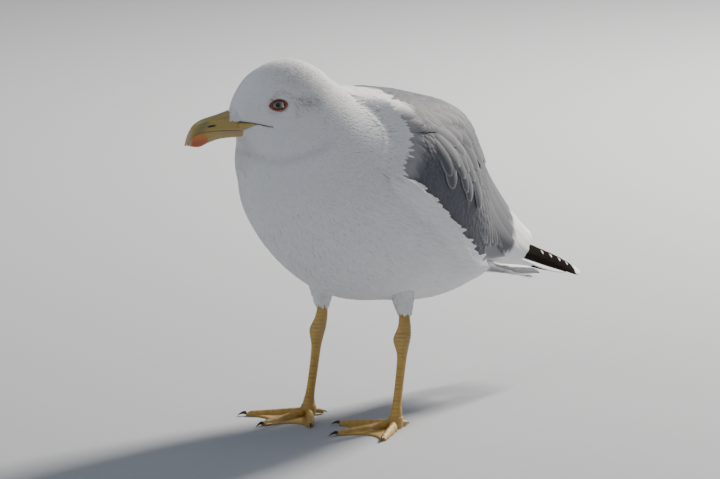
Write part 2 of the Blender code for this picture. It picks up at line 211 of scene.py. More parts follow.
def blend(first: Array, second: Array, share: Array) -> Array:
    """A colour part of the way from one to another, by a share for each point."""
    return first + (second - first) * np.asarray(share)[..., None]


def unit(vectors: Array) -> Array:
    """The vectors at length one."""
    return vectors / np.maximum(np.linalg.norm(vectors, axis=-1, keepdims=True), 1e-12)


def turned(points: Array, angle: Array | float = HEAD_TURN) -> Array:
    """Points turned about the upright axis through the neck.

    Args:
        points, angle: places in mm and the angle in radians.

    Returns:
        The turned places.
    """
    c, s = np.cos(angle), np.sin(angle)
    x, y = points[..., 0] - TURN_PIVOT[0], points[..., 1] - TURN_PIVOT[1]
    return np.stack([TURN_PIVOT[0] + c * x - s * y, TURN_PIVOT[1] + s * x + c * y, points[..., 2]], axis=-1)


HEAD_AHEAD = unit(turned(np.array([0.0, -200.0, 0.0])) - turned(np.array([0.0, -100.0, 0.0])))


def mirrored(points: Array, side: int) -> Array:
    """Points of the left side, or their mirror image where `side` is -1."""
    return points * np.array([side, 1.0, 1.0])


@dataclass
class Sheet:
    """A smooth surface held as a dense grid of points in mm, read between them by both its parameters.

    u runs along the grid's rows and v across them, both from 0 to 1. The outward normal is Tv x Tu.
    """

    points: Array
    wraps: bool = False
    flip: bool = False
    stack: Array = field(init=False)

    def __post_init__(self) -> None:
        """Works out the normals and both tangents at the grid's points."""
        rows, columns = self.points.shape[:2]
        along = np.gradient(self.points, axis=0) * (rows - 1)
        if self.wraps:
            ring = np.concatenate([self.points[:, -1:], self.points, self.points[:, :1]], axis=1)
            across = np.gradient(ring, axis=1)[:, 1:-1] * columns
        else:
            across = np.gradient(self.points, axis=1) * (columns - 1)
        normal = unit(np.cross(across, along)) * (-1 if self.flip else 1)
        self.stack = np.concatenate([self.points, normal, along, across], axis=2)

    def sample(self, u: Array, v: Array) -> tuple[Array, Array, Array, Array]:
        """Points, normals and both tangents at any parameters, carried straight on past an edge.

        Args:
            u: place along the sheet, 0 to 1.
            v: place across the sheet, 0 to 1, of the same shape.

        Returns:
            Four arrays of the shape of `u` with a last axis of 3.
        """
        rows, columns = self.points.shape[:2]
        inside_u = np.clip(u, 0, 1)
        at = inside_u * (rows - 1)
        i = np.minimum(at.astype(int), rows - 2)
        a = (at - i)[..., None]
        inside_v = v if self.wraps else np.clip(v, 0, 1)
        at = (v % 1.0) * columns if self.wraps else inside_v * (columns - 1)
        j = np.minimum(at.astype(int), columns - 1 if self.wraps else columns - 2)
        k = (j + 1) % columns
        b = (at - j)[..., None]
        grid = self.stack
        near = grid[i, j] * (1 - b) + grid[i, k] * b
        far = grid[i + 1, j] * (1 - b) + grid[i + 1, k] * b
        mixed = near * (1 - a) + far * a
        point, normal, along, across = (mixed[..., n : n + 3] for n in (0, 3, 6, 9))
        point = point + (u - inside_u)[..., None] * along + (v - inside_v)[..., None] * across
        return point, unit(normal), along, across

    def lifted(self, u: Array, v: Array, height: float) -> Array:
        """Points at a height in mm over the sheet."""
        point, normal, _, _ = self.sample(u, v)
        return point + height * normal


def steps_on(along: Array, across: Array, forward: Array, sideways: Array) -> tuple[Array, Array]:
    """Turns a step in mm in the tangent plane into a step of both parameters.

    Args:
        along: tangents for u. across: tangents for v.
        forward: mm along the direction of u. sideways: mm square to that, towards v.

    Returns:
        The steps of u and of v.
    """
    length = np.linalg.norm(along, axis=-1)
    first = along / length[..., None]
    slant = (across * first).sum(axis=-1)
    square = np.linalg.norm(across - slant[..., None] * first, axis=-1)
    dv = sideways / np.maximum(square, 1e-6)
    du = (forward - slant * dv) / np.maximum(length, 1e-6)
    return du, dv


def body_sheet(rows: int = 340, columns: int = 220) -> Sheet:
    """The body's surface, from the face to the root of the tail.

    A point is middle + up(phi) * rise + w sin(phi) X, where up is
    cos(phi) times the share of the ring above or below its widest line.

    Args:
        rows, columns: the grid.

    Returns:
        A sheet that closes round the body. v is 0 on the back and 0.25 on the bird's left.
    """
    at = np.linspace(0, LAST_RING, rows)
    table = read_smoothly(BODY_RINGS, at)
    low = np.stack([np.zeros(rows), table[:, 0], table[:, 1]], axis=1)
    rise = np.stack([np.zeros(rows), table[:, 2] - table[:, 0], table[:, 3] - table[:, 1]], axis=1)
    middle = low + table[:, 5:6] * rise
    phi = angles(columns)
    share = np.where(np.cos(phi) > 0, 1 - table[:, 5:6], table[:, 5:6])
    points = middle[:, None, :] + (np.cos(phi) * share)[..., None] * rise[:, None, :]
    points[..., 0] += table[:, 4:5] * np.sin(phi)
    share = smooth_step((TURN_STARTS - at) / (TURN_STARTS - TURN_ENDS))
    return Sheet(face_relief(turned(points, (HEAD_TURN * share)[:, None])), wraps=True)


def face_relief(points: Array) -> Array:
    """Presses the sockets and lores in and raises the brows, by soft bumps round each eye.

    Args:
        points: places in mm.

    Returns:
        The places pressed in or raised.
    """
    pushed = points.copy()
    for side in SIDES:
        eye = turned(mirrored(np.array([EYE_PLACE]), side))[0]
        out = unit(turned(mirrored(np.array([[40.0, *EYE_PLACE[1:]]]), side))[0] - eye)
        away = points - eye
        near = hump((away @ out - 6) / 14.0) * (away @ out > 0)
        forward = away @ HEAD_AHEAD
        high = away[..., 2]
        brow = hump((forward - 1) / 8.0, (high - 8.5) / 3.2) * 0.9
        socket = hump(forward / 7.5, high / 6.0) * -1.3
        lore = hump((forward - 13) / 7.0, (high + 1.5) / 4.0) * -1.0
        cheek = hump((forward + 2) / 12.0, (high + 17) / 8.0) * 0.9
        pushed = pushed + (near * (brow + socket + lore + cheek))[..., None] * out
    return pushed


BODY = body_sheet()


@dataclass(frozen=True)
class EyeAxes:
    """An eye's middle and its directions ahead, above and out, square to the cheek round it."""

    centre: Array
    ahead: Array
    above: Array
    out: Array

    @classmethod
    def of_side(cls, side: int) -> "EyeAxes":
        """Reads the mean normal of the cheek within 11 mm of the eye.

        Args:
            side: 1 for left, -1 for right.

        Returns:
            The eye's axes.
        """
        centre = turned(mirrored(np.array([EYE_PLACE]), side))[0]
        point, normal = BODY.points.reshape(-1, 3), BODY.stack[..., 3:6].reshape(-1, 3)
        straight = turned(point, -HEAD_TURN)
        away = np.hypot(straight[:, 1] - EYE_PLACE[1], straight[:, 2] - EYE_PLACE[2])
        near = (away < CHEEK_REACH) & (straight[:, 0] * side > 0)
        out = unit(normal[near].mean(axis=0))
        above = unit(np.array([0.0, 0.0, 1.0]) - out * out[2])
        ahead = unit(HEAD_AHEAD - out * (HEAD_AHEAD @ out) - above * (HEAD_AHEAD @ above))
        return cls(centre, ahead, above, out)

    def place(self, points: Array) -> tuple[Array, Array, Array]:
        """How far ahead, above and out of the eye's middle points lie, in mm."""
        away = points - self.centre
        return away @ self.ahead, away @ self.above, away @ self.out

    def share(self, points: Array, size: tuple[float, float]) -> Array:
        """Distance from the eye's axis in parts of an oval, and large on the head's other side."""
        ahead, above, out = self.place(points)
        return np.hypot(ahead / size[0], above / size[1]) + np.where(out > 0, 0.0, 1000.0)


EYE_AXES = {side: EyeAxes.of_side(side) for side in SIDES}


def wing_sheet(side: int, rows: int = 220, columns: int = 120) -> Sheet:
    """A folded wing's outer face: u runs from bend to tertials, v from upper to lower edge.

    Args:
        side, rows, columns: 1 for left, -1 for right, and the grid's size.

    Returns:
        The sheet.
    """
    lines = drawn(WING, rows)
    points = read_smoothly(lines.transpose(1, 0, 2), np.linspace(0, 3, columns)).transpose(1, 0, 2)
    return Sheet(mirrored(points, side), flip=side < 0)


def nearest_on_body(points: Array) -> tuple[Array, Array]:
    """The body sheet's parameters nearest to each point.

    Args:
        points: places in mm.

    Returns:
        Arrays of u and v.
    """
    rows, columns = BODY.points.shape[:2]
    flat = BODY.points.reshape(-1, 3)
    number = np.array([((flat - point) ** 2).sum(axis=1).argmin() for point in points])
    return (number // columns) / (rows - 1), (number % columns) / columns


def eased(values: Array, width: int = 9) -> Array:
    """A running mean along the first axis, with the ends held."""
    padded = np.pad(values, width // 2, mode="edge")
    return np.convolve(padded, np.ones(width) / width, mode="valid")


def flank_sheet(side: int, rows: int = 120, columns: int = 60) -> Sheet:
    """A surface that runs from the wing's side over its lower edge on to the flank.

    u runs back along the wing and v from the wing down to the belly, with the wing's edge at v = 3/7.

    Args:
        side, rows, columns: 1 for left, -1 for right, and the grid's size.

    Returns:
        The sheet.
    """
    wing = wing_sheet(side)
    u = np.linspace(-0.03, 0.74, rows)
    tracks = []
    for v, height in ((0.80, -0.5), (0.87, -0.3), (0.94, -0.1), (1.0, 0.0)):
        tracks.append(wing.lifted(u, v + 0 * u, height))
    near_u, near_v = (eased(values) for values in nearest_on_body(tracks[-1]))
    for number, out in enumerate((9.0, 18.0, 28.0, 38.0)):
        tracks.append(BODY.lifted(near_u - 0.004 * number, near_v + side * out / BODY_GIRTH, 0.1))
    points = drawn(tracks, columns).transpose(1, 0, 2)
    return Sheet(points, flip=side < 0)


def cape_sheet(side: int, rows: int = 60, columns: int = 90) -> Sheet:
    """A surface that runs from the neck back over the wing's front edge.

    u runs from the neck to the wing, with the wing's edge near u = 0.52, and v down the wing's front edge.

    Args:
        side, rows, columns: 1 for left, -1 for right, and the grid's size.

    Returns:
        The sheet.
    """
    wing = wing_sheet(side)
    v = np.linspace(0.0, 1.05, columns)
    edge = wing.sample(0 * v, v)[0]
    near_u, near_v = (eased(values) for values in nearest_on_body(edge))
    tracks = []
    for out in (30.0, 21.0, 13.0):
        along = np.linalg.norm(BODY.sample(near_u, near_v)[2], axis=1)
        tracks.append(BODY.lifted(near_u - out / along, near_v, 0.1))
    for u in (0.05, 0.09, 0.13):
        tracks.append(wing.sample(u + 0 * v, v)[0])
    points = drawn(tracks, rows)
    return Sheet(points, flip=side < 0)


def saddle_sheet(rows: int = 110, columns: int = 24) -> Sheet:
    """A surface over the backbone that joins the two folded wings: v runs from the right one to the left.

    Its lines are taken from both wings near their inner edges, sunk a little in the middle.

    Args:
        rows, columns: the grid's size.

    Returns:
        The sheet.
    """
    u = np.linspace(0.02, 0.98, rows)
    tracks = []
    right = [(-1, 0.16, 0.0), (-1, 0.08, -0.1), (-1, 0.0, -0.6)]
    for side, v, height in right + [(1, v, height) for _, v, height in right[::-1]]:
        tracks.append(wing_sheet(side).lifted(u, v + 0 * u, height))
    points = drawn(tracks, columns).transpose(1, 0, 2)
    return Sheet(points)


def tail_sheet(rows: int = 60, columns: int = 60) -> Sheet:
    """The closed tail's upper face, arched from side to side. v runs from the bird's right to its left.

    Args:
        rows, columns: the grid's size.

    Returns:
        The sheet.
    """
    t = column(0, 1, rows)
    across = column(-1, 1, columns).T
    half = 19 + 12 * t
    x = half * across
    y = 140 + 94 * t
    z = 109.5 - 17.5 * t - (1 - t) * 3 * across**2 - 5.5 * t * across**2 + 1.2
    return Sheet(np.stack([x, y + 0 * x, z], axis=2))


def tube_sheet(table: Sequence, side: int, inset: float, rows: int, columns: int) -> Sheet:
    """A leg's or thigh's surface: level ovals down its line. u runs down it.

    Args:
        table, side, inset, rows, columns: the stations, the side, how far inside them the surface
            lies, and the grid's size.

    Returns:
        The sheet.
    """
    line = drawn(table, rows)
    phi = angles(columns)
    z = line[:, 0:1] + 0 * phi
    x = line[:, 1:2] + (line[:, 3:4] - inset) * np.cos(phi)
    y = line[:, 2:3] + leg_shift(side, z) + (line[:, 4:5] - inset) * np.sin(phi)
    return Sheet(mirrored(np.stack([x, y, z], axis=2), side), wraps=True, flip=side > 0)


def leg_shift(side: int, height: Array) -> Array:
    """How far a side's leg stands from the left leg's line, fore and aft."""
    return 0.0 * height if side > 0 else RIGHT_LEG_SHIFT + RIGHT_LEG_LEAN * height


# ---------------------------------------------------------------- meshes and materials


@dataclass(frozen=True)
class Place:
    """Where the bird's own frame lies in the row frame."""

    shift: tuple[float, float, float]

    @classmethod
    def of_solids(cls) -> "Place":
        """Reads the shift, in mm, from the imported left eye, whose centre is known in both frames.

        Returns:
            The place.
        """
        low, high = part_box("left_eye")
        centre = (np.array(low) + np.array(high)) / 2 / MM
        return cls(tuple(centre - turned(np.array([EYE_PLACE]))[0]))

    def to_row(self, points: Array) -> Array:
        """Points in mm of the bird's frame as metres of the row frame."""
        return (points + np.array(self.shift)) * MM


PLACE = Place.of_solids()


def make_piece(
    name: str,
    points: Array,
    faces: Array,
    finish: "Finish",
    tint: Array | None = None,
    vane: Array | None = None,
    roots: Array | None = None,
) -> Piece:
    """A mesh object of the gull, from whole arrays.

    Args:
        name: the piece's name. points: (n, 3) in mm. faces: (m, 3) or (m, 4) point numbers.
        finish: its material.
        tint: (n, 3) linear colours kept as the attribute Tint.
        vane: (n, 2) places on the feather, kept as the UV map Vane.
        roots: (n, 2) unwrapped places, kept as the UV map OFBake.

    Returns:
        The object, at the origin, unturned and unscaled, riding on the root body.
    """
    mesh = bpy.data.meshes.new(name)
    corners = faces.shape[1]
    mesh.vertices.add(len(points))
    mesh.vertices.foreach_set("co", PLACE.to_row(points).astype(np.float32).ravel())
    mesh.loops.add(faces.size)
    mesh.loops.foreach_set("vertex_index", faces.astype(np.int32).ravel())
    mesh.polygons.add(len(faces))
    mesh.polygons.foreach_set("loop_start", np.arange(0, faces.size, corners, dtype=np.int32))
    mesh.update(calc_edges=True)
    mesh.polygons.foreach_set("use_smooth", np.ones(len(faces), bool))
    if tint is not None:
        colours = np.concatenate([np.clip(tint, 0, 1), np.ones((len(tint), 1))], axis=1)
        mesh.attributes.new("Tint", "FLOAT_COLOR", "POINT").data.foreach_set(
            "color", colours.astype(np.float32).ravel()
        )
    for map_name, values in (("OFBake", roots), ("Vane", vane)):
        if values is not None:
            layer = mesh.uv_layers.new(name=map_name)
            layer.data.foreach_set("uv", values[faces.ravel()].astype(np.float32).ravel())
    mesh.materials.append(finish.material())
    piece = bpy.data.objects.new(name, mesh)
    bpy.context.scene.collection.objects.link(piece)
    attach(piece, "root")
    log.info("%s: %d points, %d faces", name, len(points), len(faces))
    return piece


def nearest_six(wanted: Array, known: Array) -> tuple[Array, Array]:
    """For places of a plane, the six nearest known ones and their weights, 1 / distance^2 over their sum.

    Args:
        wanted, known: the places to find neighbours for, and the known ones.

    Returns:
        Their numbers and weights.
    """
    away = ((known[None] - wanted[:, None]) ** 2).sum(axis=2)
    near = np.argpartition(away, 6, axis=1)[:, :6]
    weight = 1 / (np.take_along_axis(away, near, axis=1) + 0.05)
    return near, weight / weight.sum(axis=1, keepdims=True)


def grid_faces(rows: int, columns: int, wraps: bool = False, flip: bool = False) -> Array:
    """Quads of a grid of points, numbered row by row.

    Args:
        rows, columns, wraps, flip: the grid's size, whether it closes on itself and whether it faces
            the other way.

    Returns:
        Four point numbers for each face.
    """
    i = np.arange(rows - 1)[:, None]
    j = np.arange(columns if wraps else columns - 1)[None, :]
    k = (j + 1) % columns
    here, below = i * columns, (i + 1) * columns
    quads = np.stack([here + j, here + k, below + k, below + j], axis=-1)
    quads = quads.reshape(-1, 4)
    return quads[:, ::-1] if flip else quads


BARB_SLANT, BARBS_PER_MM, BARB_WANDER = 0.9, 2.2, 0.25
COAT_ROUGHNESS = 0.05
SCALE_EDGE = 0.16  # share of a scale that its dark border takes
BARE_SKIN_ENDS = (0.098, 0.092)  # heights in metres between which the scales fade in


class NodeBook:
    """Short ways of making and joining shader nodes in one tree."""

    def __init__(self, tree: NodeTree) -> None:
        """Opens the book on a tree."""
        self.tree = tree

    def add(self, kind: str, **values: object) -> Node:
        """A node of a kind, with its properties and inputs set or joined.

        Args:
            kind: the node's kind.
            values: a value for each property or input, or the output that an input is joined to. A
                space in an input's name is written as an underscore.

        Returns:
            The node.
        """
        node = self.tree.nodes.new(kind)
        for key, value in values.items():
            if isinstance(value, Socket):
                self.join(value, node.inputs[key.replace("_", " ")])
            elif hasattr(node, key):
                setattr(node, key, value)
            else:
                node.inputs[key.replace("_", " ")].default_value = value
        return node

    def join(self, source: Socket, target: Socket) -> None:
        """A link from an output to an input."""
        self.tree.links.new(source, target)

    def maths(self, operation: str, first: Socket | float, second: Socket | float = 0.0) -> Socket:
        """The result of a Math node on two sockets or numbers.

        Args:
            operation: what it does with them.
            first, second: the two sockets or numbers.

        Returns:
            The node's output.
        """
        node = self.add("ShaderNodeMath", operation=operation)
        for value, socket in zip((first, second), node.inputs):
            if isinstance(value, Socket):
                self.join(value, socket)
            else:
                socket.default_value = value
        return node.outputs[0]


def new_group(name: str, **inputs: str) -> tuple[NodeBook, Node, Node]:
    """An empty node group that puts out a Value near 1 and a Height.

    Args:
        name: the group's name.
        inputs: the kind of each input socket, by its name.

    Returns:
        The group's book and its input and output nodes.
    """
    group = bpy.data.node_groups.new(name, "ShaderNodeTree")
    for title, kind in inputs.items():
        group.interface.new_socket(title, in_out="INPUT", socket_type=kind)
    for title in ("Value", "Height"):
        group.interface.new_socket(title, in_out="OUTPUT", socket_type="NodeSocketFloat")
    book = NodeBook(group)
    return book, book.add("NodeGroupInput"), book.add("NodeGroupOutput")


def barb_group() -> NodeTree:
    """Draws a feather's barbs: noise drawn out along slanting lines, by the place on the vane in mm.

    Returns:
        The group.
    """
    book, inputs, outputs = new_group("Barbs", Vane="NodeSocketVector", Depth="NodeSocketFloat")
    along, aside, _ = book.add("ShaderNodeSeparateXYZ", Vector=inputs.outputs["Vane"]).outputs
    slant = book.maths("MULTIPLY", book.maths("ABSOLUTE", aside), BARB_SLANT)
    place = book.add(
        "ShaderNodeCombineXYZ",
        X=book.maths("MULTIPLY", book.maths("SUBTRACT", along, slant), BARBS_PER_MM),
        Y=book.maths("MULTIPLY", aside, BARB_WANDER),
    )
    noise = book.add("ShaderNodeTexNoise", Scale=1.0, Detail=3.0, Vector=place.outputs[0]).outputs[0]
    swing = book.maths("MULTIPLY", book.maths("SUBTRACT", noise, 0.5), inputs.outputs["Depth"])
    book.join(book.maths("ADD", swing, 1.0), outputs.inputs["Value"])
    book.join(noise, outputs.inputs["Height"])
    return book.tree


def scale_group() -> NodeTree:
    """Draws the small round scales of bare leg skin, which fade out under the thigh's feathers.

    Returns:
        The group.
    """
    book, inputs, outputs = new_group("Scales", Size="NodeSocketFloat")
    place = book.add("ShaderNodeTexCoord").outputs["Object"]
    size = inputs.outputs["Size"]
    cells = book.add("ShaderNodeTexVoronoi", feature="DISTANCE_TO_EDGE", Vector=place, Scale=size).outputs[0]
    edge = book.add("ShaderNodeMapRange", Value=cells, From_Max=SCALE_EDGE).outputs["Result"]
    height = book.add("ShaderNodeSeparateXYZ", Vector=place).outputs[2]
    low, high = BARE_SKIN_ENDS
    bare = book.add("ShaderNodeMapRange", Value=height, From_Min=low, From_Max=high).outputs["Result"]
    book.join(book.maths("MULTIPLY", edge, bare), outputs.inputs["Height"])
    noise = book.add("ShaderNodeTexNoise", Scale=160.0, Detail=3.0, Vector=place).outputs[0]
    swing = book.maths("MULTIPLY", book.maths("SUBTRACT", 0.55, noise), 0.35)
    dark = book.maths("ADD", book.maths("MULTIPLY", book.maths("SUBTRACT", 1.0, edge), 0.2), swing)
    shown = book.maths("MULTIPLY", dark, bare)
    book.join(book.maths("SUBTRACT", 1.0, shown), outputs.inputs["Value"])
    return book.tree


@dataclass(frozen=True)
class Finish:
    """A material whose colour is the piece's own Tint, with gloss set on the shader."""

    name: str
    roughness: float = 0.6
    sheen: float = 0.0
    coat: float = 0.0
    specular: float = 0.5

    def shader(self, book: NodeBook) -> Node:
        """The Principled shader with this finish's constants.

        Args:
            book: the material's nodes.

        Returns:
            The shader.
        """
        shader = book.tree.nodes["Principled BSDF"]
        for key, value in (
            ("Roughness", self.roughness),
            ("Sheen Weight", self.sheen),
            ("Coat Weight", self.coat),
            ("Coat Roughness", COAT_ROUGHNESS),
            ("Specular IOR Level", self.specular),
        ):
            shader.inputs[key].default_value = value
        return shader

    def dress(self, book: NodeBook, shader: Node) -> None:
        """Joins the colour to the shader."""
        tint = book.add("ShaderNodeVertexColor", layer_name="Tint")
        book.join(tint.outputs[0], shader.inputs["Base Color"])

    def material(self) -> Material:
        """Makes the Blender material, or finds it when it is there already.

        Returns:
            The material.
        """
        found = bpy.data.materials.get(self.name)
        if found:
            return found
        made = bpy.data.materials.new(self.name)
        made.use_nodes = True
        book = NodeBook(made.node_tree)
        self.dress(book, self.shader(book))
        return made


@dataclass(frozen=True)
class GrainedFinish(Finish):
    """A Tint broken up by a node group's fine grain, which also roughens the surface."""

    bump: float = 0.25
    relief: float = 0.0004

    def grain(self, book: NodeBook) -> Node:
        """The grain's group node, put into the material."""
        raise NotImplementedError

    def group(self, book: NodeBook, name: str, make: Callable[[], NodeTree]) -> Node:
        """A group node for the named tree, which is made when it isn't there yet."""
        return book.add("ShaderNodeGroup", node_tree=bpy.data.node_groups.get(name) or make())

    def dress(self, book: NodeBook, shader: Node) -> None:
        """Joins the tint, the grain and its bump to the shader.

        Args:
            book: the material's nodes.
            shader: its Principled shader.
        """
        tint = book.add("ShaderNodeVertexColor", layer_name="Tint")
        grain = self.grain(book)
        mixed = book.add("ShaderNodeVectorMath", operation="SCALE", Scale=grain.outputs["Value"])
        book.join(tint.outputs[0], mixed.inputs[0])
        book.join(mixed.outputs[0], shader.inputs["Base Color"])
        height = grain.outputs["Height"]
        bump = book.add("ShaderNodeBump", Strength=self.bump, Distance=self.relief, Height=height)
        book.join(bump.outputs[0], shader.inputs["Normal"])


@dataclass(frozen=True)
class FeatherFinish(GrainedFinish):
    """Feathers, broken up by fine barbs."""

    barb_depth: float = 0.25

    def grain(self, book: NodeBook) -> Node:
        """The barbs' group node, which follows each feather's vane.

        Args:
            book: the material's nodes.

        Returns:
            The node.
        """
        barbs = self.group(book, "Barbs", barb_group)
        barbs.inputs["Depth"].default_value = self.barb_depth
        book.join(book.add("ShaderNodeUVMap", uv_map="Vane").outputs[0], barbs.inputs["Vane"])
        return barbs


@dataclass(frozen=True)
class ScalyFinish(GrainedFinish):
    """Bare skin, darkened between small scales."""

    bump: float = 0.5
    relief: float = 0.0003
    scales_per_metre: float = 900.0

    def grain(self, book: NodeBook) -> Node:
        """The scales' group node.

        Args:
            book: the material's nodes.

        Returns:
            The node.
        """
        scales = self.group(book, "Scales", scale_group)
        scales.inputs["Size"].default_value = self.scales_per_metre
        return scales


@dataclass(frozen=True)
class Glass(Finish):
    """Clear wet cornea, with no colour of its own."""

    index: float = 1.34

    def shader(self, book: NodeBook) -> Node:
        """The Principled shader as clear glass.

        Args:
            book: the material's nodes.

        Returns:
            The shader.
        """
        shader = book.tree.nodes["Principled BSDF"]
        for key, value in (("Roughness", 0.0), ("IOR", self.index), ("Transmission Weight", 1.0)):
            shader.inputs[key].default_value = value
        return shader

    def dress(self, book: NodeBook, shader: Node) -> None:
        """Leaves the glass plain."""


WHITE_FEATHER = FeatherFinish("white_feather", roughness=0.75, sheen=0.25, specular=0.2, barb_depth=0.16)
GREY_FEATHER = FeatherFinish("grey_feather", roughness=0.7, sheen=0.06, specular=0.16, barb_depth=0.22)
FLIGHT_FEATHER = FeatherFinish("flight_feather", roughness=0.62, sheen=0.04, specular=0.2, barb_depth=0.35)
BLACK_FEATHER = FeatherFinish("black_feather", roughness=0.85, specular=0.0, barb_depth=0.3)
LEG_SKIN = ScalyFinish("scaly_skin", roughness=0.45, specular=0.45)
HORN = Finish("bill_horn", roughness=0.33, coat=0.25)
CLAW_HORN = Finish("claw_horn", roughness=0.35)
RING_SKIN = Finish("ring_skin", roughness=0.4)
EYE_WET = Finish("eye_wet", roughness=0.12, coat=1.0)
CORNEA = Glass("cornea_glass")


# ---------------------------------------------------------------- feathers


class Outline(Enum):
    """A feather's outline as (share of width at the root, length of its widening, bluntness, tip power).

    Half-width at s is (root + (1 - root) smooth(s / widening)) (1 - s^bluntness)^power.
    """

    TUFT = (0.42, 0.42, 2.6, 0.70)
    ROUND = (0.42, 0.45, 3.2, 0.55)
    CONTOUR = (0.50, 0.45, 4.5, 0.5)
    BLADE = (0.45, 0.30, 11.0, 0.5)

    def widths(self, s: Array) -> Array:
        """Shares of the half-width at places s from root to tip.

        Args:
            s: shares of length, from root to tip.

        Returns:
            A share for each place.
        """
        root, widening, bluntness, power = self.value
        swell = root + (1 - root) * smooth_step(s / widening)
        return swell * np.maximum(1 - s**bluntness, 0.0) ** power


@dataclass
class Tract:
    """Many feathers laid on one sheet, one entry of each array for each feather. Lengths are in mm.

    turn is the angle from the sheet's u direction towards v, and bend is added to it by the tip.
    rise and stand are the heights over the sheet at root and tip, and the height goes up with
    1 - (1 - s)^lift, so that the shown end lies almost flat. camber is how far the edges drop.
    """

    sheet: Sheet
    outline: Outline
    u: Array
    v: Array
    length: Array
    half_width: Array
    turn: Array | float = 0.0
    bend: Array | float = 0.0
    rise: Array | float = 0.0
    stand: Array | float = 0.5
    camber: float = 0.3
    rows: int = 7
    columns: int = 5
    lift: float = 2.4

    def spread(self, value: Array | float) -> Array:
        """A value for each feather."""
        return np.broadcast_to(np.asarray(value, float), self.u.shape).copy()

    def stations(self) -> Array:
        """Places from root to tip, closer together towards the tip."""
        return 1 - (1 - np.linspace(0, 1, self.rows)) ** 1.9

    def points(self) -> Array:
        """Every feather's grid of points, (feathers, rows, columns, 3).

        The shaft steps over the sheet by its heading, and each barb end steps square to it.

        Returns:
            The points in mm.
        """
        u, v = self.u.copy(), self.v.copy()
        length, half = self.spread(self.length), self.spread(self.half_width)
        turn, bend = self.spread(self.turn), self.spread(self.bend)
        rise, stand = self.spread(self.rise), self.spread(self.stand)
        across = np.linspace(-1, 1, self.columns)
        s = self.stations()
        share = self.outline.widths(s)
        made = np.empty((len(u), self.rows, self.columns, 3))
        for row, place in enumerate(s):
            heading = turn + bend * place
            if row:
                _, _, along, side = self.sheet.sample(u, v)
                step = length * (place - s[row - 1])
                du, dv = steps_on(along, side, step * np.cos(heading), step * np.sin(heading))
                u, v = u + du, v + dv
            _, _, along, side = self.sheet.sample(u, v)
            out = half[:, None] * share[row] * across
            forward, sideways = -np.sin(heading)[:, None] * out, np.cos(heading)[:, None] * out
            du, dv = steps_on(along[:, None], side[:, None], forward, sideways)
            point, normal, _, _ = self.sheet.sample(u[:, None] + du, v[:, None] + dv)
            climb = 1 - (1 - place) ** self.lift
            height = (rise + (stand - rise) * climb)[:, None] - self.camber * across**2 * share[row]
            made[:, row] = point + normal * height[..., None]
        return made

    def vane(self) -> Array:
        """Each point's place on its feather in mm, with a shift along the shaft for each feather.

        Returns:
            Places in mm.
        """
        s, t = self.stations()[None, :, None], np.linspace(-1, 1, self.columns)[None, None, :]
        half = self.spread(self.half_width)[:, None, None] * self.outline.widths(s)
        length = self.spread(self.length)[:, None, None]
        shift = (np.arange(len(self.u)) * 7.31 % 97)[:, None, None]
        return np.stack([length * s + shift + 0 * t, half * t + 0 * s], axis=-1)

    def keep(self, wanted: Array) -> "Tract":
        """The same tract with only some of its feathers."""
        names = ("u", "v", "length", "half_width", "turn", "bend", "rise", "stand")
        return replace(self, **{name: self.spread(getattr(self, name))[wanted] for name in names})


ROOT_PATCH = 0.003  # how wide each feather lies on the OFBake map
UNWRAP_TURN = 1.0001  # one turn and a hair, so that a far edge at 1 stays there


@dataclass(frozen=True)
class Patch:
    """The rectangle of the OFBake map that one sheet's unwrap fills."""

    left: float
    low: float
    wide: float
    high: float

    def place(self, u: Array, v: Array) -> Array:
        """Unwrapped places of sheet parameters."""
        return np.stack([self.left + self.wide * u, self.low + self.high * (v % UNWRAP_TURN)], axis=-1)


BODY_PATCH = Patch(0.01, 0.01, 0.56, 0.97)
WING_PATCH = {1: Patch(0.60, 0.01, 0.18, 0.47), -1: Patch(0.80, 0.01, 0.18, 0.47)}
TAIL_PATCH = Patch(0.60, 0.52, 0.18, 0.30)
FRONS_PATCH = Patch(0.60, 0.86, 0.10, 0.10)
SADDLE_PATCH = Patch(0.74, 0.86, 0.10, 0.12)
THIGH_PATCH = {1: Patch(0.80, 0.52, 0.08, 0.30), -1: Patch(0.90, 0.52, 0.08, 0.30)}


def feather_piece(
    name: str,
    tract: Tract,
    colour: Callable[[Tract, Array, Array, Array], Array],
    patch: Patch,
    finish: Finish,
    slot: str = "white_plumage",
) -> Piece:
    """One mesh of many feathers.

    Args:
        name: the piece's name.
        tract: the feathers.
        colour: gives linear colours from the tract, its grid of points and their places s from root to
            tip, 0 to 1, and t from edge to edge, -1 to 1.
        patch: where the tract's sheet lies on the OFBake map.
        finish: the piece's material.
        slot: the record's material slot; not used.

    Returns:
        The piece.
    """
    grid = tract.points()
    s = np.broadcast_to(tract.stations()[None, :, None], grid.shape[:3])
    t = np.broadcast_to(np.linspace(-1, 1, tract.columns), grid.shape[:3])
    starts = np.arange(len(grid))[:, None, None] * (tract.rows * tract.columns)
    faces = (grid_faces(tract.rows, tract.columns)[None] + starts).reshape(-1, 4)
    root = patch.place(np.clip(tract.u, 0, 1), tract.v if tract.sheet.wraps else np.clip(tract.v, 0, 1))
    roots = (root[:, None, None] + ROOT_PATCH * np.stack([s, t * 0.5], axis=-1)).reshape(-1, 2)
    tint, vane = colour(tract, grid, s, t).reshape(-1, 3), tract.vane().reshape(-1, 2)
    return make_piece(name, grid.reshape(-1, 3), faces, finish, tint, vane, roots)


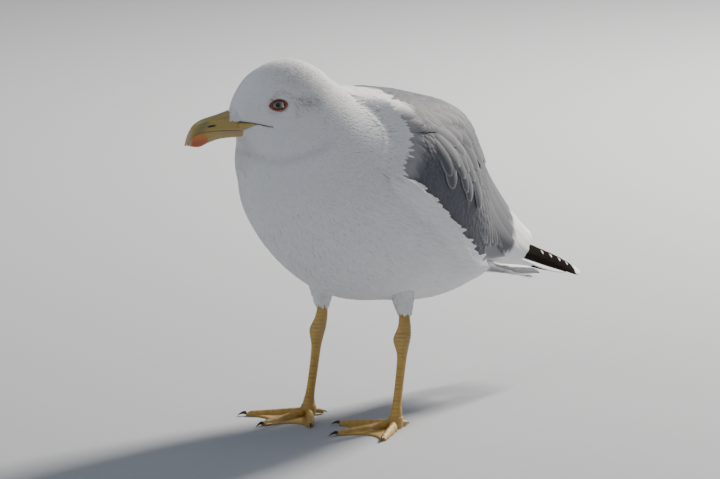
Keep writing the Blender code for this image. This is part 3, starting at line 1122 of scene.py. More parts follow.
def rows_on(
    sheet: Sheet, forward: Callable[[Array], Array], sideways: Callable[[Array], Array], seed: int
) -> tuple[Array, Array]:
    """Roots in staggered rows over a sheet, thinned where its rows crowd together.

    Args:
        forward: mm between rows at u. sideways: mm between neighbours of a row at u.

    Returns:
        Arrays of u and v.
    """
    rng = np.random.default_rng(seed)
    rows, columns = sheet.points.shape[:2]
    grid_u = np.linspace(0, 1, rows)
    along = np.linalg.norm(sheet.stack[..., 6:9], axis=2)
    across = np.linalg.norm(sheet.stack[..., 9:12], axis=2)
    longest = along.max(axis=1)
    run = np.concatenate([[0], np.cumsum(longest[1:] / (rows - 1) / forward(grid_u[1:]))])
    lines = np.interp(np.arange(int(run[-1])) + 0.5, run, grid_u)
    count = np.maximum(np.interp(lines, grid_u, across.mean(axis=1)) / sideways(lines), 1).astype(int) + 1
    row = np.repeat(np.arange(len(lines)), count)
    k = np.arange(len(row)) - np.repeat(np.cumsum(count) - count, count)
    v = (k + 0.5 * (row % 2) + rng.uniform(-0.22, 0.22, len(row))) / count[row]
    gap = np.gradient(lines)[row]
    u = lines[row] + gap * rng.uniform(-0.3, 0.3, len(row))
    i = np.clip((u * (rows - 1)).astype(int), 0, rows - 1)
    j = (v * columns).astype(int) % columns
    room = along[i, j] * gap / forward(u) * across[i, j] / (count[row] * sideways(u))
    kept = (rng.random(len(row)) < room * 1.15) & (u > 0) & (u < 1)
    return u[kept], v[kept]


# ---------------------------------------------------------------- markings


# the line under the cheek, straight head's y and z in mm, along which shade is painted
CHEEK_FOLD = ((-128, 241), (-124, 231), (-118, 226.5), (-110, 226), (-97, 229), (-80, 234.5), (-67, 241))


def head_place(points: Array, side: int) -> tuple[Array, Array]:
    """How far ahead of an eye and how far above it points lie, in mm, with the head turned straight.

    Args:
        points, side: places in mm, and 1 for left, -1 for right.

    Returns:
        Both distances.
    """
    straight = turned(points, -HEAD_TURN)
    near = np.where(straight[..., 0] * side > -2, 0.0, 1000.0)
    return -(straight[..., 1] - EYE_PLACE[1]) + near, straight[..., 2] - EYE_PLACE[2]


def streakiness(points: Array) -> Array:
    """How strongly the winter streaks show, 0 to 1: behind and round each eye and over the hind crown.

    Args:
        points: places in mm.

    Returns:
        The strength at each place.
    """
    total = np.zeros(points.shape[:-1])
    for side in SIDES:
        ahead, above = head_place(points, side)
        ring = np.hypot(ahead, above * 1.15)
        around = 0.50 * hump((ring - 11.5) / 2.6) * smooth_step(above, -10, -4)
        behind = 0.95 * hump((ahead + 21) / 13, (above - 3.5) / 6.0)
        front = 0.9 * hump((ahead - 9.0) / 2.2, (above + 0.5) / 1.8)
        total = np.maximum(total, np.maximum(np.maximum(around, behind), front))
    straight = turned(points, -HEAD_TURN)
    crown = 0.55 * hump((straight[..., 1] + 88) / 30, (straight[..., 2] - 294) / 14)
    nape = 0.40 * hump((straight[..., 1] + 52) / 22, (straight[..., 2] - 278) / 16)
    return np.clip(np.maximum(total, np.maximum(crown, nape)), 0, 1)


def cheek_fold(points: Array) -> Array:
    """How strongly the shade under the cheek's overhanging feathers shows, 0 to 1.

    Args:
        points: places in mm.

    Returns:
        The strength at each place.
    """
    straight = turned(points, -HEAD_TURN)
    line = np.array(CHEEK_FOLD)
    level = np.interp(straight[..., 1], line[:, 0], line[:, 1])
    return hump((straight[..., 2] - level) / 3.6) * (1 - smooth_step(straight[..., 1], -78, -62))


def body_colour(points: Array, u: Array, v: Array, streak: Array) -> Array:
    """The body's colour: white, grey on the back between the wings, with streaks of a given strength and
    painted cheek shade.

    Args:
        points: places in mm. u, v: body sheet parameters. streak: 0 to 1, the streaks' strength here.

    Returns:
        Linear colours.
    """
    ring = u * LAST_RING
    upper = np.cos(2 * math.pi * v)
    back = smooth_step(ring, 8.9, 9.7) * smooth_step(upper, 0.2, 0.5)
    colour = WHITE + (GREY - WHITE) * back[..., None]
    # painted shade under the cheek's overhanging feathers, mixed in with the streaks
    dark = (np.maximum(streak, 0.17 * cheek_fold(points)) * (1 - back))[..., None]
    return colour * (1 - dark) + STREAK_AND_SHADE * dark


def coat_depth(ring: Array) -> Array:
    """How deep the skin lies under the plumage, in mm, by ring number: shallow on the face."""
    return 0.7 + 0.4 * smooth_step(ring, 2, 6) + 1.1 * smooth_step(ring, 6, 10)


# ---------------------------------------------------------------- skin


def triangles(quads: Array) -> Array:
    """Two triangles for each quad."""
    return np.concatenate([quads[:, [0, 1, 2]], quads[:, [0, 2, 3]]])


@dataclass
class Shell:
    """Points and triangles of one closed surface, with its colours."""

    points: Array
    faces: Array
    tint: Array

    def piece(self, name: str, finish: Finish, slot: str) -> Piece:
        """The shell as a piece, with its colours."""
        return make_piece(name, self.points, self.faces, finish, tint=self.tint)

    @classmethod
    def capped(cls, grid: Array, flip: bool, tint: Array) -> "Shell":
        """A tube of rings, closed at both ends by fans to their middles.

        Args:
            grid, flip, tint: the rings, whether they face the other way, and their colours.

        Returns:
            The shell.
        """
        rows, columns = grid.shape[:2]
        ends = grid[[0, -1]].mean(axis=1)
        points = np.concatenate([grid.reshape(-1, 3), ends])
        k = np.arange(columns)
        after = (k + 1) % columns
        size = rows * columns
        first = np.stack([after, k, 0 * k + size], axis=1)
        last = np.stack([k + size - columns, after + size - columns, 0 * k + size + 1], axis=1)
        fans = np.concatenate([first, last])
        quads = triangles(grid_faces(rows, columns, wraps=True))
        faces = np.concatenate([quads, fans])
        shade = np.concatenate([tint.reshape(-1, 3), tint[[0, -1]].mean(axis=1)])
        return cls(points, faces[:, ::-1] if flip else faces, shade)

    @classmethod
    def double(cls, outer: Array, inner: Array, flip: bool, tint: Array) -> "Shell":
        """Two facing grids joined along their edges.

        Args:
            outer, inner, flip, tint: the two grids, whether they face the other way, and the outer
                one's colours.

        Returns:
            The shell.
        """
        rows, columns = outer.shape[:2]
        size = rows * columns
        face = triangles(grid_faces(rows, columns))
        right = np.arange(1, rows) * columns + columns - 1
        low = (rows - 1) * columns + np.arange(columns - 2, -1, -1)
        left = np.arange(rows - 2, 0, -1) * columns
        loop = np.concatenate([np.arange(columns), right, low, left])
        after = np.roll(loop, -1)
        edge = triangles(np.stack([after, loop, loop + size, after + size], axis=1))
        faces = np.concatenate([face, face[:, ::-1] + size, edge])
        points = np.concatenate([outer.reshape(-1, 3), inner.reshape(-1, 3)])
        shade = np.concatenate([tint.reshape(-1, 3)] * 2)
        return cls(points, faces[:, ::-1] if flip else faces, shade)


def joined(shells: Sequence[Shell]) -> Shell:
    """Many shells as one.

    Args:
        shells: what to join.

    Returns:
        One shell.
    """
    starts = np.cumsum([0] + [len(shell.points) for shell in shells[:-1]])
    faces = [shell.faces + start for shell, start in zip(shells, starts)]
    return Shell(
        np.concatenate([shell.points for shell in shells]),
        np.concatenate(faces),
        np.concatenate([shell.tint for shell in shells]),
    )


def flat_tint(colour: Array, grid: Array) -> Array:
    """One colour for every point of a grid."""
    return np.broadcast_to(colour, grid.shape).copy()


LEG_YELLOW = np.array((0.62, 0.385, 0.095))
LEG_PALE = np.array((0.60, 0.45, 0.20))


@dataclass
class Leg:
    """A bare leg and webbed foot: shields down the front, small scales behind, ridged toes and thin webs."""

    side: int
    shield: float = 3.1
    shield_depth: float = 0.34
    toe_heights: tuple[float, float] = (6.6, 3.7)
    toe_half_widths: tuple[float, float] = (3.6, 2.4)
    web: float = 1.2
    web_curve: float = 0.72
    knob_high: float = 69.0

    def shank(self) -> Shell:
        """The leg, with a saw-tooth of shields on its front and creases at the ankle.

        Returns:
            The shell.
        """
        rows, columns = 190, 44
        line = drawn(LEG, rows)
        phi = angles(columns)
        z = line[:, 0:1]
        front = np.maximum(-np.sin(phi), 0) ** 0.7
        saw = (z / self.shield) % 1.0
        plate = (smooth_step(saw, 0.0, 0.18) * (1 - 0.55 * saw) - 0.5) * self.shield_depth * front
        crease = 0.22 * np.sin(z * 2.9 + 2 * np.sin(phi * 2)) * hump((z - 71) / 9.0) * (1 - front)
        size, heading = ANKLE_KNOB[self.side]
        facing = np.clip(np.cos(phi - math.radians(heading)), 0, 1) ** 1.3
        knob = size * hump((z - self.knob_high) / 6.5) * facing
        bump = plate + crease + knob - 0.15
        x = line[:, 1:2] + (line[:, 3:4] + bump) * np.cos(phi)
        y = line[:, 2:3] + leg_shift(self.side, z) + (line[:, 4:5] + bump) * np.sin(phi)
        grid = mirrored(np.stack([x, y, z + 0 * phi], axis=2), self.side)
        # painted light and shade: each shield lighter where it bulges and darker in the step to the next
        shade = 0.86 + 0.30 * (plate / self.shield_depth + 0.5) * front - 0.25 * (saw < 0.16) * front
        tint = LEG_YELLOW * shade[..., None]
        joint = hump((z - 71) / 10.0)[..., None] * 0.35
        return Shell.capped(grid, self.side > 0, tint * (1 - joint) + LEG_PALE * shade[..., None] * joint)

    def axes(self, angle: float) -> tuple[Array, Array, Array]:
        """The foot's centre on the floor and the directions along and across a toe, all as on the left.

        Args:
            angle: the toe's heading in degrees.

        Returns:
            Three vectors.
        """
        turn = math.radians(angle + FOOT_TURN[self.side])
        centre = np.array([FOOT_CENTRE[0], FOOT_CENTRE[1] + float(leg_shift(self.side, 0.0)), 0.0])
        ahead = np.array([-math.sin(turn), -math.cos(turn), 0.0])
        across = np.array([-math.cos(turn), math.sin(turn), 0.0])
        return centre, ahead, across

    def toe(self, name: str, reach_share: Array, columns: int = 13) -> Array:
        """A toe's top as a grid, (steps, columns, 3): an arched section with joints and cross shields.

        Args:
            name, reach_share, columns: the toe's name, shares of its length and the number of points
                across.

        Returns:
            The toe's points.
        """
        angle, length = TOES[name]
        centre, ahead, across = self.axes(angle)
        reach = (5.0 + (length - 5.0) * reach_share)[:, None]
        offset = column(-1, 1, columns).T
        (near, far), (tall, low) = self.toe_half_widths, self.toe_heights
        share = reach_share[:, None]
        joints = 1 + 0.09 * np.cos(2 * math.pi * reach / 13.5)
        half = np.minimum(near + (far - near) * share, 0.36 * reach) * joints
        arch = (1 - offset**2) ** 0.62
        saw = (reach / 1.9) % 1.0
        plate = (smooth_step(saw, 0.0, 0.2) * (1 - 0.5 * saw) - 0.5) * 0.34 * arch
        top = self.web + (tall + (low - tall) * share - self.web) * arch * (0.93 + 0.07 * joints) + plate
        tip = 1 - 0.45 * smooth_step(share, 0.9, 1.0) * arch
        grid = centre + reach[..., None] * ahead + (half * offset)[..., None] * across
        grid[..., 2] = np.maximum(top * tip, self.web * 0.9)
        pull = np.abs(offset) ** 2 * 1.5 * smooth_step(share, 0.9, 1.0)
        return grid - pull[..., None] * ahead

    def membrane(self, first: Array, second: Array, columns: int = 15) -> Array:
        """The web between two toes' facing edges: thin, hollow in front, with fine folds along the toes.

        Args:
            first, second, columns: the toes' facing edges and the number of points between them.

        Returns:
            The web's points.
        """
        t = np.linspace(0, 1, columns + 2)[1:-1][None, :, None]
        hollow = 1 - (1 - self.web_curve) * (4 * t * (1 - t)) ** 0.6
        straight = first[:, None] * (1 - t) + second[:, None] * t
        grid = straight[:1] + (straight - straight[:1]) * hollow
        share = np.linspace(0, 1, len(first))[:, None]
        folds = 0.16 * np.sin(t[..., 0] * 40 + 3 * share) * smooth_step(share, 0.1, 0.4)
        grid[..., 2] = self.web - 0.1 + folds - 0.5 * smooth_step(share, 0.93, 1.0)
        return grid

    def sole(self) -> Shell:
        """The foot's toes and webs as one closed shell on a flat sole.

        Returns:
            The shell.
        """
        share = np.linspace(0, 1, 84)
        outer, middle, inner = (self.toe(name, share) for name in TOES)
        webs = self.membrane(outer[:, -1], middle[:, 0]), self.membrane(middle[:, -1], inner[:, 0])
        top = np.concatenate([outer, webs[0], middle, webs[1], inner], axis=1)
        # painted light and shade: the toes' raised tops lighter than the webs, and painted shade in the
        # grooves between their shields
        high = smooth_step(top[..., 2], self.web, 3.0)
        reach = (5.0 + 48.0 * share)[:, None]
        groove = 1 - 0.3 * ((reach / 1.9) % 1.0 < 0.16) * high
        shade = (0.80 + 0.22 * high) * groove
        tint = LEG_YELLOW * shade[..., None]
        flat = top * np.array([1, 1, 0]) + np.array([0, 0, FLOOR_LEVEL])
        return Shell.double(mirrored(top, self.side), mirrored(flat, self.side), self.side > 0, tint)

    def hub(self) -> Shell:
        """The mass where the leg meets its toes.

        Returns:
            The shell.
        """
        x, y = FOOT_CENTRE
        table = (
            (9.0, x, y, 5.7, 5.9),
            (6.5, x, y - 0.8, 6.2, 6.7),
            (4.0, x, y - 1, 6.2, 6.9),
            (FLOOR_LEVEL, x, y - 1, 5.6, 6.3),
        )
        grid = tube_sheet(table, self.side, 0.0, 16, 40).points
        return Shell.capped(grid, self.side > 0, flat_tint(LEG_YELLOW * 0.92, grid))

    def hind_toe(self) -> Shell:
        """The short hind toe, from the back of the leg to the floor.

        Returns:
            The shell.
        """
        angle, length = HIND_TOE
        centre, ahead, across = self.axes(angle)
        t = column(0, 1, 24)
        around = angles(20)
        half = (2.6 - 0.7 * t) * (1 + 0.05 * np.sin(t * 40))
        reach = 2.0 + (length - 2.0) * t + 0 * around
        grid = centre + reach[..., None] * ahead + (np.cos(around) * half)[..., None] * across
        floor = FLOOR_LEVEL + 0.3 * (1 - t) + 0 * around
        grid[..., 2] = np.maximum(4.4 - 2.4 * t + np.sin(around) * half, floor)
        return Shell.capped(mirrored(grid, self.side), self.side < 0, flat_tint(LEG_YELLOW * 0.9, grid))

    def shells(self) -> list[Shell]:
        """Every shell of the leg and foot."""
        return [self.shank(), self.sole(), self.hub(), self.hind_toe()]


@dataclass
class Skin:
    """The one skin under the plumage, bare on the legs and feet, with a socket for each eye."""

    rows: int = 230
    columns: int = 140
    wing_depth: float = 3.4
    wing_thickness: float = 1.6
    socket: tuple[float, float] = (6.0, 3.85)
    socket_depth: float = 7.0

    def body(self) -> Shell:
        """The head, neck and trunk, drawn in by the plumage's depth.

        Returns:
            The shell.
        """
        sheet = body_sheet(self.rows, self.columns)
        depth = coat_depth(np.linspace(0, LAST_RING, self.rows))[:, None]
        for axes in EYE_AXES.values():
            away = axes.share(sheet.points, self.socket)
            depth = depth + self.socket_depth * (1 - smooth_step(away, 0.80, 1.06))
        points = sheet.points - sheet.stack[..., 3:6] * depth[..., None]
        u = np.linspace(0, 1, self.rows)[:, None] + np.zeros((1, self.columns))
        v = np.linspace(0, 1, self.columns, endpoint=False)[None, :] + 0 * u
        tint = body_colour(sheet.points, u, v, 0.45 * streakiness(sheet.points))
        return Shell.capped(points, False, tint)

    def wing(self, side: int) -> Shell:
        """A folded wing's form under its coverts.

        Args:
            side: 1 for left, -1 for right.

        Returns:
            The shell.
        """
        sheet = wing_sheet(side)
        u = column(0.03, 0.86, 70) + np.zeros((1, 44))
        v = column(0.02, 0.93, 44).T + 0 * u
        point, normal, _, _ = sheet.sample(u, v)
        outer = point - normal * (self.wing_depth + 4 * (1 - smooth_step(u, 0.05, 0.2)))[..., None]
        inner = outer - normal * self.wing_thickness
        tint = blend(GREY, WHITE, np.maximum(smooth_step(v, 0.90, 0.95), smooth_step(u, 0.80, 0.9)))
        return Shell.double(outer, inner, side < 0, tint)

    def tail(self) -> Shell:
        """The tail's form between its upper and lower feathers.

        Returns:
            The shell.
        """
        sheet = tail_sheet()
        u = column(0.0, 0.8, 30) + np.zeros((1, 24))
        v = column(0.06, 0.94, 24).T + 0 * u
        point, normal, _, _ = sheet.sample(u, v)
        outer = point - normal * 1.2
        inner = point - normal * (5.2 - 3.6 * u[..., None])
        return Shell.double(outer, inner, False, flat_tint(WHITE, outer))

    def thigh(self, side: int) -> Shell:
        """A thigh under its feathers."""
        sheet = tube_sheet(THIGH, side, 1.8, 30, 30)
        return Shell.capped(sheet.points, sheet.flip, flat_tint(WHITE, sheet.points))

    def build(self) -> Piece:
        """The skin as one mesh.

        Returns:
            The piece.
        """
        shells = [self.body(), self.tail()]
        for side in SIDES:
            shells += [self.wing(side), self.thigh(side), *Leg(side).shells()]
        whole = joined(shells)
        skin = whole.piece("skin", LEG_SKIN, "leg_skin")
        replaced = ["head", "neck", "trunk", "tail"]
        for name in SIDES.values():
            replaced += [f"{name}_{part}" for part in ("wing", "primaries", "thigh", "leg", "foot")]
        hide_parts(*replaced)
        return skin


# ---------------------------------------------------------------- coats


def vary(shape: Sequence[int], seed: int, amount: float) -> Array:
    """Factors near 1, one for each feather of a grid, with a last axis of 1."""
    rng = np.random.default_rng(seed)
    return 1 + amount * rng.uniform(-1, 1, (shape[0],) + (1,) * 3)


def white(seed: int = 0, amount: float = 0.0) -> Callable[[Tract, Array, Array, Array], Array]:
    """A colour for feather_piece: white, each feather a little lighter or darker by up to an amount."""
    return lambda tract, grid, s, t: np.broadcast_to(WHITE * vary(grid.shape, seed, amount), grid.shape)


def blocker(sheets: Sequence[Sheet]) -> BVHTree:
    """A tree of the sheets' faces, for finding what lies under them.

    Args:
        sheets: the surfaces that cover.

    Returns:
        The tree.
    """
    points, faces, start = [], [], 0
    for sheet in sheets:
        grid = sheet.points[::4, ::4]
        points.append(grid.reshape(-1, 3))
        faces.append(grid_faces(grid.shape[0], grid.shape[1]) + start)
        start += grid[..., 0].size
    return BVHTree.FromPolygons(np.concatenate(points).tolist(), np.concatenate(faces).tolist())


@dataclass
class BodyCoat:
    """Small overlapping feathers over the head, neck and trunk."""

    seed: int = 11
    steps_apart: float = 0.27
    neighbours_apart: float = 0.85
    covered_from: float = 8.5
    eye_clearance: tuple[float, float] = (6.9, 4.4)
    regions: tuple[tuple[str, float], ...] = (
        ("face", 2.6),
        ("head", 4.8),
        ("nape", 6.6),
        ("neck", 8.3),
        ("breast", 10.2),
        ("belly", 12.6),
        ("rump", 99.0),
    )

    def length(self, ring: Array) -> Array:
        """Feather length in mm by ring number."""
        head = 3.0 + 2.2 * smooth_step(ring, 0, 3.5)
        return head + 3.4 * smooth_step(ring, 6, 8.5) + 4.0 * smooth_step(ring, 8.5, 11)

    def half_width(self, ring: Array) -> Array:
        """Feather half-width in mm by ring number."""
        head = 0.36 + 0.24 * smooth_step(ring, 0, 4)
        return head + 0.45 * smooth_step(ring, 6, 8.5) + 0.5 * smooth_step(ring, 8.5, 11)

    def roots(self) -> tuple[Array, Array]:
        """Roots all over the body that aren't at an eye or under a wing.

        Returns:
            Arrays of u and v.
        """
        u, v = rows_on(
            BODY,
            lambda at: self.steps_apart * self.length(at * LAST_RING),
            lambda at: self.neighbours_apart * self.half_width(at * LAST_RING),
            self.seed,
        )
        shown = ~self.at_eye(u, v) & ~self.at_gape(u, v) & ~self.hidden(u, v)
        return u[shown], v[shown]

    def at_gape(self, u: Array, v: Array) -> Array:
        """True for feathers that would start on the corner of the mouth or end over it.

        Args:
            u, v: places on the sheet.

        Returns:
            A mask of the feathers.
        """
        point, _, along, _ = BODY.sample(u, v)
        over = Gape.covers(point, 0.2)
        for share, margin in ((0.5, -0.1), (0.95, -0.25)):
            over |= Gape.covers(point + unit(along) * (self.length(u * LAST_RING)[:, None] * share), margin)
        return over

    def at_eye(self, u: Array, v: Array) -> Array:
        """True for feathers that would start on an eye's ring or lie over it.

        Args:
            u, v: places on the sheet.

        Returns:
            A mask of the feathers.
        """
        point, _, along, _ = BODY.sample(u, v)
        tip = point + unit(along) * (self.length(u * LAST_RING)[:, None] * 0.75)
        over = np.zeros(len(u), bool)
        for side in SIDES:
            for place in (point, tip):
                over |= EYE_AXES[side].share(place, self.eye_clearance) < 1
        return over

    def hidden(self, u: Array, v: Array) -> Array:
        """True for feathers wholly under the folded wings.

        Args:
            u, v: places on the sheet.

        Returns:
            A mask of the feathers.
        """
        tree = blocker([wing_sheet(side) for side in SIDES])
        point, normal, along, _ = BODY.sample(u, v)
        ahead = point + unit(along) * 22
        covered = np.zeros(len(u), bool)
        for number in np.flatnonzero(u * LAST_RING > self.covered_from):
            out = Vector(normal[number])
            starts = (Vector(place[number]) - out * 2 for place in (point, ahead))
            covered[number] = all(tree.ray_cast(start, out, 60)[0] is not None for start in starts)
        return covered

    def tract(self) -> Tract:
        """The whole coat, lying back from the bill to the tail.

        Returns:
            The feathers.
        """
        u, v = self.roots()
        ring = u * LAST_RING
        rng = np.random.default_rng(self.seed + 1)
        loose = smooth_step(ring, 7, 11)
        return Tract(
            BODY, Outline.TUFT, u, v, length=self.length(ring) * rng.uniform(0.82, 1.15, len(u)),
            half_width=self.half_width(ring) * rng.uniform(0.95, 1.32, len(u)),
            turn=rng.normal(0, 0.08 + 0.05 * loose), bend=rng.normal(0, 0.12, len(u)),
            rise=0.1 - coat_depth(ring),
            stand=-0.2 + rng.uniform(-0.07, 0.10, len(u)) * (0.6 + loose), camber=0.10, rows=5,
            columns=3, lift=3.0,
        )

    def colour(self, tract: Tract, grid: Array, s: Array, t: Array) -> Array:
        """White or grey by place, with a dark shaft streak where the winter markings are.

        Args:
            tract, grid, s, t: as feather_piece gives them.

        Returns:
            Linear colours.
        """
        uneven = np.random.default_rng(5).random((len(grid), 1, 1))
        strength = streakiness(grid[:, :1, :1]) * (0.45 + 0.75 * uneven)
        dashed = np.random.default_rng(7).random((len(grid), 1, 1)) ** 1.6
        shaft = (1 - np.abs(t) ** 1.5 * 0.5) * smooth_step(s, 0.1, 0.5) * (0.25 + 1.5 * dashed)
        u = np.broadcast_to(tract.u[:, None, None], s.shape)
        v = np.broadcast_to(tract.v[:, None, None], s.shape)
        colour = body_colour(grid, u, v, np.clip(strength * shaft, 0, 1))
        return colour * vary(grid.shape, 6, 0.035)

    def build(self) -> list[Piece]:
        """The coat as one piece for each region, from the face back.

        Returns:
            The pieces.
        """
        whole = self.tract()
        ring = whole.u * LAST_RING
        pieces, start = [], 0.0
        for region, end in self.regions:
            part = whole.keep((ring >= start) & (ring < end))
            start = end
            pieces.append(feather_piece(f"{region}_plumage", part, self.colour, BODY_PATCH, WHITE_FEATHER))
        return pieces


def staggered(
    u_range: tuple[float, float],
    v_range: tuple[float, float],
    rows: int,
    columns: int,
    seed: int,
    loose: float = 0.25,
) -> tuple[Array, Array, Array]:
    """Roots in staggered rows over a rectangle of a sheet's parameters, with each root's row number.

    Args:
        u_range, v_range, rows, columns, seed, loose: the rectangle, the rows' and columns' numbers,
            the seed and how far roots stray.

    Returns:
        Arrays of u, v and row number.
    """
    rng = np.random.default_rng(seed)
    i, j = np.meshgrid(np.arange(rows), np.arange(columns), indexing="ij")
    wide = (v_range[1] - v_range[0]) / columns
    long = (u_range[1] - u_range[0]) / max(rows - 1, 1)
    u = u_range[0] + long * (i + loose * rng.uniform(-1, 1, i.shape))
    v = v_range[0] + wide * (j + 0.25 + 0.5 * (i % 2) + loose * rng.uniform(-1, 1, i.shape))
    return u.ravel(), v.ravel(), i.ravel()


@dataclass
class WingCoat:
    """The folded wing's feathers: mantle, scapulars, coverts, secondaries and tertials."""

    side: int
    covert: tuple[float, float] = (17.0, 5.0)  # length and half-width
    mantle_feather: tuple[float, float] = (19.0, 7.0)
    scapular: tuple[float, float] = (34.0, 10.5)
    scapular_gain: tuple[float, float] = (6.0, -2.0)  # towards the lowest
    secondary: tuple[float, float] = (66.0, 6.0)
    secondaries: int = 62
    tertial: tuple[float, float] = (122.0, 13.0)
    tertial_gain: tuple[float, float] = (19.0, -2.0)  # towards the uppermost
    sheet: Sheet = field(init=False)

    def __post_init__(self) -> None:
        """Finds the wing's sheet."""
        self.sheet = wing_sheet(self.side)

    def coverts(self) -> Tract:
        """Small smooth coverts of the wing's front and lower part.

        Returns:
            The feathers.
        """
        u, v, _ = staggered((-0.01, 0.58), (0.40, 0.93), 28, 22, 21)
        rng = np.random.default_rng(22)
        return Tract(
            self.sheet, Outline.CONTOUR, u, v,
            length=self.covert[0] * rng.uniform(0.9, 1.1, len(u)), half_width=self.covert[1],
            turn=0.35, bend=0.1, rise=-3.4, stand=-1.9 + rng.uniform(-0.2, 0.2, len(u)),
            camber=0.7,
        )

    def panel(self) -> Tract:
        """The long narrow greater coverts and secondaries that hang down behind them.

        Returns:
            The feathers.
        """
        rng = np.random.default_rng(24)
        count = self.secondaries
        place = np.linspace(0, 1, count)
        layer = np.arange(count) % 2
        u = 0.34 + 0.34 * place + rng.uniform(-0.01, 0.01, count)
        v = 0.62 - 0.36 * place + 0.05 * layer
        turn = 0.95 - 0.30 * place + rng.normal(0, 0.03, count)
        length = self.secondary[0] + 46 * place - 6 * layer + rng.uniform(-3, 3, count)
        return Tract(
            self.sheet, Outline.CONTOUR, u, v, length=length, half_width=self.secondary[1],
            turn=turn, bend=-0.22, rise=-3.6 + 0.4 * layer, stand=-2.4 + 0.5 * layer, camber=0.9,
            rows=12, columns=5,
        )

    def mantle(self) -> Tract:
        """Small rounded feathers between the shoulders.

        Returns:
            The feathers.
        """
        u, v, _ = staggered((-0.01, 0.36), (0.07, 0.5), 16, 13, 31)
        rng = np.random.default_rng(32)
        return Tract(
            self.sheet, Outline.CONTOUR, u, v,
            length=self.mantle_feather[0] * rng.uniform(0.9, 1.1, len(u)),
            half_width=self.mantle_feather[1], turn=0.12, rise=-2.6,
            stand=-0.5 + rng.uniform(-0.2, 0.2, len(u)), camber=0.9,
        )

    def scapulars(self) -> Tract:
        """Large rounded feathers over the wing's root, whose last row hangs free.

        Returns:
            The feathers.
        """
        u, v, _ = staggered((0.18, 0.56), (0.02, 0.62), 8, 9, 41, 0.3)
        above = ~((u > 0.42) & (v > 0.34))
        u, v = u[above], v[above]
        rng = np.random.default_rng(42)
        count = len(u)
        low = smooth_step(v, 0.35, 0.62)
        return Tract(
            self.sheet, Outline.CONTOUR, u, v,
            length=(self.scapular[0] + self.scapular_gain[0] * low) * rng.uniform(0.9, 1.15, count),
            half_width=self.scapular[1] + self.scapular_gain[1] * low, turn=0.20 + 0.55 * low,
            bend=0.1, rise=-2.3,
            stand=rng.uniform(-0.25, 0.35, count) - 0.7 * smooth_step(u, 0.42, 0.50), camber=1.3,
            rows=10, columns=7,
        )

    def tertials(self) -> Tract:
        """The long overlapping tertials, uppermost on top.

        Returns:
            The feathers.
        """
        count = 6
        place = np.linspace(0, 1, count)
        return Tract(
            self.sheet, Outline.BLADE, u=0.56 + 0.05 * place, v=0.58 - 0.50 * place,
            length=self.tertial[0] + self.tertial_gain[0] * place,
            half_width=self.tertial[1] + self.tertial_gain[1] * place, turn=0.16 - 0.15 * place,
            bend=0.04, rise=-2.6 + 0.5 * place, stand=-1.1 + 1.3 * place, camber=1.1, rows=24,
            columns=9,
        )

    def collar(self, u: Array, v: Array, s: Array) -> Array:
        """How far the neck's white still shows at the front of the back, 0 to 1.

        Args:
            u, v, s: the roots' places and the points' shares of length.

        Returns:
            The share of white.
        """
        loose = np.random.default_rng(63).uniform(-0.02, 0.02, len(u))
        ends = 0.06 + 0.05 * (1 - smooth_step(v, 0.12, 0.30))
        share = 1 - smooth_step((u + loose - ends)[:, None, None] + 0.05 * s, 0.0, 0.05)
        return share * (1 - smooth_step(v, 0.30, 0.45))[:, None, None]

    def grey(self, tract: Tract, grid: Array, s: Array, t: Array) -> Array:
        """Blue-grey, darker towards the shaft and paler at the fringe, mixed with white by the neck.

        Args:
            tract, grid, s, t: as feather_piece gives them.

        Returns:
            Linear colours.
        """
        edge = np.maximum(smooth_step(s, 0.9, 1.0), 0.6 * smooth_step(np.abs(t), 0.8, 1.0))
        colour = GREY * (0.95 + 0.25 * edge[..., None]) * vary(grid.shape, 61, 0.05)
        shaft = hump(t / 0.12) * 0.10
        back = tract.u[:, None, None] + 0.10 * s
        pale = 0.40 * (1 - smooth_step(back, 0.02, 0.15))
        share = np.maximum(pale, self.collar(tract.u, tract.v, s))
        return blend(colour * (1 - shaft[..., None]), WHITE, share)

    def pale_fringe(self, tract: Tract, grid: Array, s: Array, t: Array) -> Array:
        """Grey with a narrow pale fringe, faint on the upper feathers and clear on the lowest and last.

        Args:
            tract, grid, s, t: as feather_piece gives them.

        Returns:
            Linear colours.
        """
        sides = smooth_step(np.abs(t), 0.86, 1.0) * smooth_step(s, 0.3, 0.8)
        edge = np.maximum(smooth_step(s, 0.93, 1.0), sides)
        clear = 0.10 + 0.22 * smooth_step(tract.v, 0.35, 0.6)
        colour = self.grey(tract, grid, s, t)
        return colour + (WHITE * 0.8 - colour) * (edge * clear[:, None, None])[..., None]

    def white_tip(self, tract: Tract, grid: Array, s: Array, t: Array) -> Array:
        """Grey with a broad white end, which makes the wing's white crescent.

        Args:
            tract, grid, s, t: as feather_piece gives them.

        Returns:
            Linear colours.
        """
        start = (0.72 - 0.14 * np.arange(len(grid)) / max(len(grid) - 1, 1))[:, None, None]
        end = smooth_step(s + 0.08 * np.abs(t) ** 2 - start, 0.0, 0.05)[..., None]
        return self.grey(tract, grid, s, t) * (1 - end) + WHITE * end

    def build(self) -> list[Piece]:
        """The wing's pieces.

        Returns:
            The pieces.
        """
        side, patch = SIDES[self.side], WING_PATCH[self.side]
        return [
            feather_piece(f"{side}_{title}", tract, colour, patch, finish, "grey_plumage")
            for title, tract, colour, finish in (
                ("coverts", self.coverts(), self.grey, GREY_FEATHER),
                ("secondaries", self.panel(), self.pale_fringe, FLIGHT_FEATHER),
                ("mantle", self.mantle(), self.grey, GREY_FEATHER),
                ("scapulars", self.scapulars(), self.pale_fringe, GREY_FEATHER),
                ("tertials", self.tertials(), self.white_tip, GREY_FEATHER),
            )
        ]


